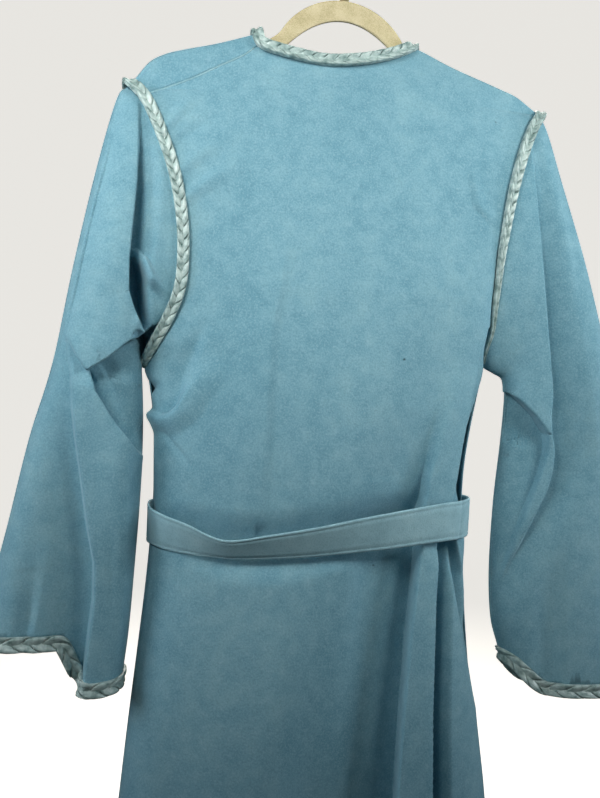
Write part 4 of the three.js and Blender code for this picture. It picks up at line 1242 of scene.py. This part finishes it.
# ---- the belt ----
def belt_points(turn: Array, z: Array, stand: float) -> tuple[Array, Array]:
    """Finds points round the body at the belt.

    Args:
        turn: Degrees: 0 is the right side, 90 the middle of the back, 180 the left side.
        z: Heights.
        stand: How far the belt stands off the cloth.

    Returns:
        The points and the level way out from each.
    """
    a = np.radians(turn)
    left, right = SIDE_SEAM.read("left", z), SIDE_SEAM.read("right", z)
    x = (left + right) / 2 + (right - left) / 2 * np.cos(a)
    out = unit(np.stack([np.cos(a) / 2, -np.sin(a), np.zeros(a.shape)], -1))
    behind = turn <= 180
    y = np.where(behind, face_y(Face.BACK, x, z), face_y(Face.FRONT, x, z))
    y = np.where(np.abs(np.sin(a)) < 1e-6, 0.0, y)
    layers = np.where(behind, 0.0, (WRAP_GAP + 1.5) * np.abs(np.sin(a)))
    return np.stack([x, y, z], -1) + out * (stand + layers)[..., None], out


@dataclass
class Belt:
    """The self belt: its band, the knot in front and the two free ends."""

    width: float = 42.0
    thick: float = 2.6
    stand: float = 2.7
    steps: int = 420
    stitch: float = 4.0  # from each long edge to the pressed line of stitches
    crease_turn: float = 27.0  # in degrees, where a crease is pressed across the band
    crease_depth: float = 1.1
    crease_width: float = 1.6
    fullness: float = 0.7  # below 1 a turn of the knot is squarer than an ellipse
    knot_z: float = -640.0
    flat: tuple[float, float] = (0.042, 1.02)
    end_flat: tuple[float, float] = (0.038, 0.33)

    def section(self) -> Array:
        """Returns the band's section, (share of the height, offset out), round its skin."""
        half, groove = self.thick / 2, 0.55
        heights = np.array([0.0, 1.2, self.stitch - 1.0, self.stitch, self.stitch + 1.2, 10, 16, 21])
        heights = np.concatenate([heights, self.width - heights[-2::-1]])
        depth = np.full(len(heights), half)
        depth[0] = depth[-1] = half * 0.35
        depth[1] = depth[-2] = half * 0.95
        depth[3] = depth[-4] = half - groove
        outer = np.stack([heights, depth], -1)
        inner = np.stack([heights, -depth], -1)[::-1]
        ring = np.concatenate([outer, inner])
        return np.concatenate([ring, ring[:1]])

    def band(self, material: Material) -> Piece:
        """Makes the band, whose upper edge leans out behind."""
        turn = np.linspace(0, 360, self.steps + 1)
        base, out = belt_points(turn % 360, BELT_LINE.read("z", turn), self.stand)
        base[-1], out[-1] = base[0], out[0]
        lean = np.radians(BELT_LINE.read("lean", turn))
        up = out * np.sin(lean)[:, None] + np.array([0, 0, 1.0]) * np.cos(lean)[:, None]
        face = out * np.cos(lean)[:, None] - np.array([0, 0, 1.0]) * np.sin(lean)[:, None]
        wave = 0.25 * np.sin(np.radians(turn * 5)) + 0.2 * np.sin(np.radians(turn * 11 + 40))
        wave -= self.crease_depth * np.exp(-((turn - self.crease_turn) / self.crease_width) ** 2)
        section = self.section()
        wide = BELT_LINE.read("wide", turn)
        rings = (base[:, None] + up[:, None] * (section[None, :, :1] * wide[:, None, None])
                 + face[:, None] * (section[None, :, 1:] + wave[:, None, None]))
        piece = grid_object(
            "belt_band_cloth", rings, close_across=True, close_along=True,
            lengths=(2 * self.width, 1020.0))
        finish_piece(piece, material, "cloth", "belt_band")
        return piece

    def end(
        self, material: Material, node: str, x: float, drop: float, sway: float, stand: float
    ) -> Piece:
        """Makes a free end, a flat strip that hangs from under the knot with a slight turn."""
        t = np.linspace(0, 1, 121)
        top = self.knot_z - 24.0
        z = top - drop * t
        mid = x + sway * t + 3.0 * np.sin(t * 5.0)
        turn = np.radians(9.0) * np.sin(t * 4.2 + 0.4)
        front = face_y(Face.FRONT, mid, z) + WRAP_GAP + CLOTH + self.thick + stand
        across = np.stack([np.cos(turn), np.sin(turn), np.zeros(len(t))], -1)
        face = np.stack([-np.sin(turn), np.cos(turn), np.zeros(len(t))], -1)
        section = self.section()
        side = (section[:, 0] - self.width / 2) * 0.9
        taper = mix(0.72, 1.0, smooth_between(t, 0.0, 0.14))
        rings = (np.stack([mid, front + 1.2 * np.sin(t * 7), z], -1)[:, None]
                 + across[:, None] * (side[None, :] * taper[:, None])[..., None]
                 + face[:, None] * section[None, :, 1:] * 0.9)
        piece = grid_object(f"{node}_cloth", rings, close_across=True, lengths=(2 * self.width, drop))
        close_ends(piece)
        finish_piece(piece, material, "cloth", node)
        return piece

    def wrap(
        self, name: str, centre: Vector, size: Vector, turn: float, band: float
    ) -> Piece:
        """Makes one turn of the knot: a band of cloth bent round into a flat ring.

        Args:
            name: The turn's name.
            centre: Its middle.
            size: Its outer width, depth and height.
            turn: How far it is turned in the plane of the fronts, in degrees.
            band: The width of the cloth that is bent round.

        Returns:
            The ring.
        """
        around = np.linspace(0, 2 * math.pi, 73)
        half = 0.5 * (size.x - self.thick), 0.5 * (size.y - self.thick)
        c = squared_off(np.cos(around), self.fullness)
        s = squared_off(np.sin(around), self.fullness)
        pleat = np.linspace(-0.5, 0.5, 17)
        ridge = 1.2 * np.cos(pleat * 2 * math.pi * 2.5) * (1 - (2 * pleat) ** 4)
        crown = 1 - 0.16 * (2 * pleat) ** 2
        x = half[0] * c[:, None] * crown
        y = (half[1] + ridge) * s[:, None] * crown
        z = pleat[None, :] * band + 0 * x
        points = np.stack([x, y, z], -1)
        a = math.radians(turn)
        rotate = np.array([[math.cos(a), 0, math.sin(a)], [0, 1, 0], [-math.sin(a), 0, math.cos(a)]])
        points = points @ rotate.T + np.array(centre)
        piece = grid_object(name, points, close_along=True)
        thicken(piece, self.thick * 0.8)
        return piece

    def knot(self, material: Material) -> Piece:
        """Makes the knot: a cross turn over the two sides of the loop behind it."""
        low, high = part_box("belt_knot")
        centre = (low + high) / 2 / MM
        size = (high - low) / MM
        behind = centre + Vector((0, -1.5, 0))
        loop = self.wrap("knot_loop", behind, Vector((size.x, size.y * 0.78, 0)), 8, 34)
        cross = self.wrap("knot_cross", centre, Vector((size.z * 0.86, size.y, 0)), 72, 27)
        dg = bpy.context.evaluated_depsgraph_get()
        for part in (loop, cross):
            part.data = bpy.data.meshes.new_from_object(part.evaluated_get(dg))
            part.modifiers.clear()
        piece = joined("belt_knot_cloth", [loop, cross])
        return finish_piece(piece, material, "cloth", "belt_knot")


# ---- the hanger ----
@dataclass
class Hanger:
    """The slim flocked hanger: its plate, the collar and the wire hook."""

    round_edge: float = 1.5
    segments: int = 3

    def softened(self, node: str, name: str, edge: float) -> Piece:
        """Copies a node's solid and rounds its sharp edges.

        Args:
            node: The node that the copy stands for.
            name: The copy's name.
            edge: The size of the rounding in millimetres.

        Returns:
            The copy, undressed.
        """
        bm = bmesh.new()
        bm.from_mesh(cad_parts[node].data)
        bmesh.ops.remove_doubles(bm, verts=bm.verts, dist=1e-6)
        bmesh.ops.dissolve_limit(
            bm, angle_limit=math.radians(1.0), verts=bm.verts, edges=bm.edges, delimit={"NORMAL"})
        sharp = [e for e in bm.edges if e.is_manifold and e.calc_face_angle(0.0) > math.radians(50)]
        bmesh.ops.bevel(
            bm, geom=sharp, offset=edge * MM, offset_type="OFFSET", segments=self.segments,
            profile=0.5, affect="EDGES", clamp_overlap=True, material=-1)
        bmesh.ops.triangulate(bm, faces=[f for f in bm.faces if len(f.verts) > 4])
        mesh = bpy.data.meshes.new(name)
        bm.to_mesh(mesh)
        bm.free()
        mesh.shade_smooth()
        mesh.set_sharp_from_angle(angle=math.radians(42))
        piece = bpy.data.objects.new(name, mesh)
        bpy.context.scene.collection.objects.link(piece)
        return piece

    def build(self, flock: Material, wire: Material) -> None:
        """Makes the plate, the collar and the hook."""
        plate = self.softened("hanger", "hanger_plate", self.round_edge)
        finish_piece(plate, flock, "flock", "hanger")
        collar = self.softened("hanger_collar", "hanger_collar_flock", 0.8)
        finish_piece(collar, flock, "flock", "hanger_collar")
        self.hook(wire)

    def hook(self, wire: Material) -> Piece:
        """Makes the wire hook with a ball at its tip, round the top of the rail it hangs on."""
        radius, half, bend = 19.8, 1.8, (3.5, -43.0)
        centre_z = half - radius
        angle = np.radians(np.linspace(-42, 185, 60))
        arc = np.stack([radius * np.cos(angle), 0 * angle, centre_z + radius * np.sin(angle)], -1)
        shank = np.array([(0, 0, -55.6), (0, 0, -52), (0.6, 0, -48), (bend[0], 0, bend[1])], float)
        line = np.concatenate([shank, arc])
        outs = np.tile([0.0, 1.0, 0.0], (len(line), 1))
        route = Route(line, outs, np.ones(len(line)), False).even(1.0, 5.0)
        along = unit(np.gradient(route.points, axis=0))
        across = np.cross(along, route.outs)
        turn = np.linspace(0, 2 * math.pi, 17)
        rings = (route.points[:, None] + across[:, None] * (half * np.cos(turn))[None, :, None]
                 + route.outs[:, None] * (half * np.sin(turn))[None, :, None])
        piece = grid_object("hook_wire", rings, close_across=True)
        close_ends(piece)
        return finish_piece(piece, wire, "hook_wire", "hook")


# ---- finishes ----
def linear(hex_colour: str) -> tuple[float, float, float, float]:
    """Turns an sRGB hex colour into the linear one that nodes take."""
    parts = [int(hex_colour[i:i + 2], 16) / 255 for i in (1, 3, 5)]
    return (*(c / 12.92 if c <= 0.04045 else ((c + 0.055) / 1.055) ** 2.4 for c in parts), 1.0)


def per_mm(size: float) -> float:
    """Returns the texture scale whose features are about this many millimetres wide."""
    return 1000.0 / size


class Shader:
    """A material's node tree, with one function that adds a node, sets it and links it."""

    def __init__(self, name: str) -> None:
        """Starts an empty material with its output."""
        self.material = bpy.data.materials.new(name)
        self.material.use_nodes = True
        self.tree = self.material.node_tree
        self.tree.nodes.clear()
        self.output = self.tree.nodes.new("ShaderNodeOutputMaterial")

    def add(self, kind: str, inputs: dict[str | int, Any], **settings: Any) -> bpy.types.Node:
        """Adds a node.

        Args:
            kind: The node's type, without "ShaderNode".
            inputs: For each socket, a value or another node's output socket.
            **settings: The node's own properties.

        Returns:
            The node.
        """
        node = self.tree.nodes.new(f"ShaderNode{kind}")
        for key, value in settings.items():
            setattr(node, key, value)
        for key, value in inputs.items():
            if isinstance(value, Socket):
                self.tree.links.new(value, node.inputs[key])
            else:
                node.inputs[key].default_value = value
        return node

    def ramp(self, factor: Socket, stops: Sequence[tuple[float, str]]) -> Socket:
        """Adds a colour ramp with these stops and returns its colour."""
        node = self.add("ValToRGB", {"Fac": factor})
        elements = node.color_ramp.elements
        while len(elements) < len(stops):
            elements.new(0.5)
        for element, (place, colour) in zip(elements, stops):
            element.position = place
            element.color = linear(colour)
        return node.outputs["Color"]

    def blend(self, factor: Any, a: Any, b: Any, how: str = "MIX") -> Socket:
        """Adds a colour mix and returns its result."""
        node = self.add("Mix", {}, data_type="RGBA", blend_type=how)
        for index, value in ((0, factor), (6, a), (7, b)):  # the places of its colour sockets
            if isinstance(value, Socket):
                self.tree.links.new(value, node.inputs[index])
            else:
                node.inputs[index].default_value = value
        return node.outputs[2]

    def close(self, shader: bpy.types.Node) -> Material:
        """Links the surface to the output and returns the material."""
        self.tree.links.new(shader.outputs[0], self.output.inputs["Surface"])
        return self.material


@dataclass(frozen=True)
class Velour:
    """Suede-finished velour: a short dense nap, matte, that lies lighter or darker in patches."""

    name: str = "velour_teal"
    mid: str = "#76a6b7"
    light: str = "#82b0be"
    dark: str = "#6a9cae"
    fleck: str = "#a6c8d2"
    patch: float = 90.0  # where the nap was stroked one way
    cloud: float = 16.0
    grain: float = 1.7  # tufts of the nap, drawn twice as coarse as they are so that they show
    sheen: float = 0.35

    def make(self) -> Material:
        """Builds the material."""
        s = Shader(self.name)
        place = s.add("TexCoord", {}).outputs["Object"]
        tall = s.add("Mapping", {"Vector": place, "Scale": (1.0, 1.0, 0.38)}).outputs["Vector"]
        patch = s.add("TexNoise", {"Vector": tall, "Scale": per_mm(self.patch), "Detail": 3.0})
        cloud = s.add("TexNoise", {"Vector": place, "Scale": per_mm(self.cloud), "Detail": 4.0})
        grain = s.add("TexNoise", {"Vector": place, "Scale": per_mm(self.grain), "Detail": 2.0})
        nap = s.add("Math", {0: patch.outputs["Fac"], 1: cloud.outputs["Fac"]}, operation="ADD")
        half = s.add("Math", {0: nap.outputs[0], 1: 0.5}, operation="MULTIPLY")
        tone = s.ramp(half.outputs[0], [(0.36, self.dark), (0.5, self.mid), (0.64, self.light)])
        speck = s.add("MapRange", {"Value": grain.outputs["Fac"], 1: 0.52, 2: 0.78, 3: 0.0, 4: 0.42})
        colour = s.blend(speck.outputs[0], tone, linear(self.fleck))
        shade = s.add("MapRange", {"Value": grain.outputs["Fac"], 1: 0.30, 2: 0.50, 3: 0.86, 4: 1.0})
        grey = s.add("CombineColor", {0: shade.outputs[0], 1: shade.outputs[0], 2: shade.outputs[0]})
        colour = s.blend(1.0, colour, grey.outputs[0], "MULTIPLY")
        bump = s.add("Bump", {"Height": grain.outputs["Fac"], "Strength": 0.35, "Distance": 0.6 * MM})
        soft = s.add("Bump", {"Height": cloud.outputs["Fac"], "Strength": 0.25, "Distance": 1.2 * MM,
                              "Normal": bump.outputs[0]})
        return s.close(s.add("BsdfPrincipled", {
            "Base Color": colour, "Roughness": 0.92, "Specular IOR Level": 0.15, "IOR": 1.45,
            "Sheen Weight": self.sheen, "Sheen Roughness": 0.45, "Sheen Tint": linear("#d6ecf0"),
            "Normal": soft.outputs[0]}))


@dataclass(frozen=True)
class Satin:
    """Folded satin strips: smooth and silvery, with a soft gloss along each strand."""

    name: str = "satin_sage"
    light: str = "#bdd3d0"
    mid: str = "#a2bbb9"
    dark: str = "#6f8c8a"
    rib: float = 1.1
    patch: float = 7.0

    def make(self) -> Material:
        """Builds the material."""
        s = Shader(self.name)
        coords = s.add("TexCoord", {})
        patch = s.add("TexNoise", {
            "Vector": coords.outputs["Object"], "Scale": per_mm(self.patch), "Detail": 3.0})
        tone = s.ramp(patch.outputs["Fac"], [(0.32, self.dark), (0.5, self.mid), (0.68, self.light)])
        streak = s.add("Mapping", {"Vector": coords.outputs["UV"], "Scale": (1.0, 0.12, 1.0)})
        rib = s.add("TexNoise", {"Vector": streak.outputs[0], "Scale": per_mm(self.rib), "Detail": 2.0})
        bump = s.add("Bump", {"Height": rib.outputs["Fac"], "Strength": 0.35, "Distance": 0.35 * MM})
        return s.close(s.add("BsdfPrincipled", {
            "Base Color": tone, "Roughness": 0.36, "Specular IOR Level": 0.55, "IOR": 1.5,
            "Sheen Weight": 0.25, "Sheen Roughness": 0.3, "Sheen Tint": linear("#eef6ee"),
            "Anisotropic": 0.45, "Normal": bump.outputs[0]}))


@dataclass(frozen=True)
class Flock:
    """Velvet flock glued on the plastic hanger: a short cream fuzz, matte."""

    name: str = "flock_cream"
    light: str = "#d9d0ae"
    mid: str = "#cdc39d"
    dark: str = "#b3a981"
    grain: float = 0.9

    def make(self) -> Material:
        """Builds the material."""
        s = Shader(self.name)
        place = s.add("TexCoord", {}).outputs["Object"]
        grain = s.add("TexNoise", {"Vector": place, "Scale": per_mm(self.grain), "Detail": 2.0})
        cloud = s.add("TexNoise", {"Vector": place, "Scale": per_mm(22.0), "Detail": 3.0})
        both = s.add("Math", {0: grain.outputs["Fac"], 1: cloud.outputs["Fac"]}, operation="ADD")
        half = s.add("Math", {0: both.outputs[0], 1: 0.5}, operation="MULTIPLY")
        tone = s.ramp(half.outputs[0], [(0.34, self.dark), (0.5, self.mid), (0.66, self.light)])
        bump = s.add("Bump", {"Height": grain.outputs["Fac"], "Strength": 0.4, "Distance": 0.4 * MM})
        return s.close(s.add("BsdfPrincipled", {
            "Base Color": tone, "Roughness": 0.95, "Specular IOR Level": 0.1, "IOR": 1.45,
            "Sheen Weight": 0.3, "Sheen Roughness": 0.5, "Normal": bump.outputs[0]}))


@dataclass(frozen=True)
class PlatedWire:
    """Nickel-plated steel wire: bright, with faint drawing lines along it."""

    name: str = "plated_wire"
    colour: str = "#c9c7c0"

    def make(self) -> Material:
        """Builds the material."""
        s = Shader(self.name)
        coords = s.add("TexCoord", {})
        lines = s.add("Mapping", {"Vector": coords.outputs["UV"], "Scale": (3.0, 0.05, 1.0)})
        noise = s.add("TexNoise", {"Vector": lines.outputs[0], "Scale": per_mm(0.6)})
        rough = s.add("MapRange", {"Value": noise.outputs["Fac"], 1: 0.3, 2: 0.7, 3: 0.16, 4: 0.30})
        tone = s.blend(noise.outputs["Fac"], linear(self.colour), linear("#b4b1a8"))
        return s.close(s.add("BsdfPrincipled", {
            "Base Color": tone, "Metallic": 1.0, "Roughness": rough.outputs[0]}))


@dataclass(frozen=True)
class StudioPaper:
    """Plain pale paper for the floor and the sweep behind."""

    name: str = "studio_paper"
    colour: str = "#f3f1ec"

    def make(self) -> Material:
        """Builds the material."""
        s = Shader(self.name)
        return s.close(s.add("BsdfPrincipled", {
            "Base Color": linear(self.colour), "Roughness": 0.9, "Specular IOR Level": 0.1,
            "Emission Color": linear(self.colour), "Emission Strength": 0.86}))


# ---- the studio ----
@dataclass
class Studio:
    """The camera, the lights and a pale floor that sweeps up all round."""

    camera_at: tuple[float, float, float] = (-0.2297, -0.9737, -0.515)
    yaw: float = 11.5
    roll: float = 2.3
    focal_px: float = 913.0  # the focal length in pixels of an image 798 high
    image_height: float = 798.0
    sensor: float = 36.0
    floor_z: float = -1.62
    floor_radius: float = 5.0
    sweep_radius: float = 1.6
    wall_top: float = 4.5

    def camera(self) -> None:
        """Places the camera, level with the waist and turned a little to the right."""
        data = bpy.data.cameras.new("camera")
        data.sensor_width = self.sensor
        data.lens = self.focal_px / self.image_height * self.sensor
        camera = bpy.data.objects.new("camera", data)
        turn = (Matrix.Rotation(math.radians(-self.yaw), 4, "Z") @ Matrix.Rotation(math.pi / 2, 4, "X")
                @ Matrix.Rotation(math.radians(self.roll), 4, "Z"))
        camera.matrix_world = Matrix.Translation(self.camera_at) @ turn
        bpy.context.scene.collection.objects.link(camera)
        bpy.context.scene.camera = camera

    def lamp(
        self, name: str, at: Sequence[float], target: Sequence[float], size: float, watts: float, colour: str,
        spread: float = 180.0,
    ) -> None:
        """Adds a soft square lamp that faces a point, with a grid where its spread is small."""
        data = bpy.data.lights.new(name, "AREA")
        data.size, data.energy, data.color = size, watts, linear(colour)[:3]
        data.spread = math.radians(spread)
        lamp = bpy.data.objects.new(name, data)
        lamp.location = at
        lamp.rotation_euler = (Vector(target) - Vector(at)).to_track_quat("-Z", "Y").to_euler()
        bpy.context.scene.collection.objects.link(lamp)

    def lights(self) -> None:
        """Lights the robe from the upper left behind the camera, with a weak fill."""
        self.lamp("key", (-0.7, -0.8, 0.1), (-0.18, 0.0, -0.25), 0.45, 1.35, "#fffdf8", 60.0)
        self.lamp("key_right", (0.7, -0.8, 0.1), (0.22, 0.0, -0.25), 0.45, 1.2, "#fffdf8", 60.0)
        self.lamp("left", (-1.2, -0.45, -0.3), (-0.1, 0.0, -0.5), 0.5, 5.7, "#f6f9ff")
        self.lamp("right", (1.4, -0.45, -0.3), (0.2, 0.0, -0.5), 0.5, 7.4, "#f6f9ff")
        self.lamp("front", (0.6, 2.4, 1.0), (0.0, 0.0, -0.6), 1.6, 60.0, "#fff8ef")
        world = bpy.data.worlds.new("studio")
        world.use_nodes = True
        sky = world.node_tree.nodes["Background"]
        sky.inputs["Color"].default_value = linear("#f4f4f2")
        sky.inputs["Strength"].default_value = 0.03
        bpy.context.scene.world = world
        bpy.context.scene.view_settings.view_transform = "Standard"

    def floor(self) -> Piece:
        """Makes the floor as a wide bowl, whose wall the lights pass through."""
        bm = bmesh.new()
        profile = [(0.0, self.floor_z), (self.floor_radius, self.floor_z)]
        for step in range(1, 13):
            a = math.pi / 2 * step / 12
            profile.append((self.floor_radius + self.sweep_radius * math.sin(a),
                            self.floor_z + self.sweep_radius * (1 - math.cos(a))))
        profile.append((self.floor_radius + self.sweep_radius, self.wall_top))
        verts = [bm.verts.new((r, 0.0, z)) for r, z in profile]
        edges = [bm.edges.new(pair) for pair in zip(verts, verts[1:])]
        bmesh.ops.spin(
            bm, geom=verts + edges, cent=(0, 0, 0), axis=(0, 0, 1), angle=2 * math.pi, steps=96,
            use_merge=True)
        bmesh.ops.remove_doubles(bm, verts=bm.verts, dist=1e-5)
        bmesh.ops.recalc_face_normals(bm, faces=bm.faces)
        mesh = bpy.data.meshes.new("floor")
        bm.to_mesh(mesh)
        bm.free()
        mesh.shade_smooth()
        floor = bpy.data.objects.new("floor", mesh)
        floor.data.materials.append(StudioPaper().make())
        floor.visible_shadow = floor.visible_diffuse = floor.visible_glossy = False
        bpy.context.scene.collection.objects.link(floor)
        return floor


def shoulder_seam(back: Array, material: Material) -> Piece:
    """Makes the fine raised line where the left front is sewn to the back, behind the ridge."""
    radius = 0.75
    edge = back[0]
    edge = edge[edge[:, 0] < NECK_LEFT_X - 4]
    out = unit(np.array([0.0, -1.0, 0.25]))
    route = Route(edge + out * 0.7, np.tile(out, (len(edge), 1)), np.ones(len(edge)), False).even(1.5, 4.0)
    along = unit(np.gradient(route.points, axis=0))
    across = np.cross(along, route.outs)
    turn = np.linspace(0, 2 * math.pi, 9)
    rings = (route.points[:, None] + across[:, None] * (radius * np.cos(turn))[None, :, None]
             + route.outs[:, None] * (radius * np.sin(turn))[None, :, None])
    piece = grid_object("shoulder_seam_left", rings, close_across=True)
    close_ends(piece)
    return finish_piece(piece, material, "cloth")


def main() -> None:
    """Builds the robe, its hanger and the studio."""
    logging.basicConfig(level=logging.INFO, format="%(message)s")
    studio = Studio()
    studio.camera()
    velour, satin = Velour().make(), Satin().make()
    # the seam's velour is the cloth painted lighter: a painted highlight along the raised seam line
    seam_highlight_velour = Velour(name="velour_seam_painted_highlight", mid="#9cc4cc", light="#b4d4d8", dark="#86b3be").make()

    panel, left, right = BackPanel(), FrontPanel(Side.LEFT, 0.0), FrontPanel(Side.RIGHT, WRAP_GAP)
    back_grid, left_grid, right_grid = panel.points(), left.points(), right.points()
    panel.build(velour, back_grid)
    left.build(velour, left_grid)
    right.build(velour, right_grid)
    shoulder_seam(back_grid, seam_highlight_velour)

    narrow, broad = Plait(), Plait(width=16.5, height=9.0, leaf=19.5)
    for side in Side:
        sleeve = Sleeve(side)
        rings = sleeve.points()
        sleeve.build(velour, rings)
        narrow.build(f"armhole_trim_{side.value}", armhole_route(side, narrow), satin,
                     f"plait_armhole_{side.value}", soften=15.0)
        broad.build(f"cuff_trim_{side.value}", cuff_route(rings, broad), satin,
                    f"plait_cuff_{side.value}")
    narrow.build("neck_trim", neck_route(back_grid, left_grid, right_grid, narrow), satin, "plait_neck")

    belt = Belt()
    # the band's velour is the cloth painted lighter than the knot and the ends: painted light on the band's
    # face, which leans down into shade
    belt_painted_light_velour = Velour(name="velour_belt_painted_light", mid="#98c3cf", light="#a4ccd6", dark="#8cb7c4").make()
    belt.band(belt_painted_light_velour)
    belt.knot(velour)
    belt.end(velour, "belt_end_left", -30.0, 330.0, -26.0, 2.6)
    belt.end(velour, "belt_end_right", -4.0, 300.0, 18.0, 8.1)
    Hanger().build(Flock().make(), PlatedWire().make())

    studio.lights()
    studio.floor()


if __name__ == "__main__":
    main()
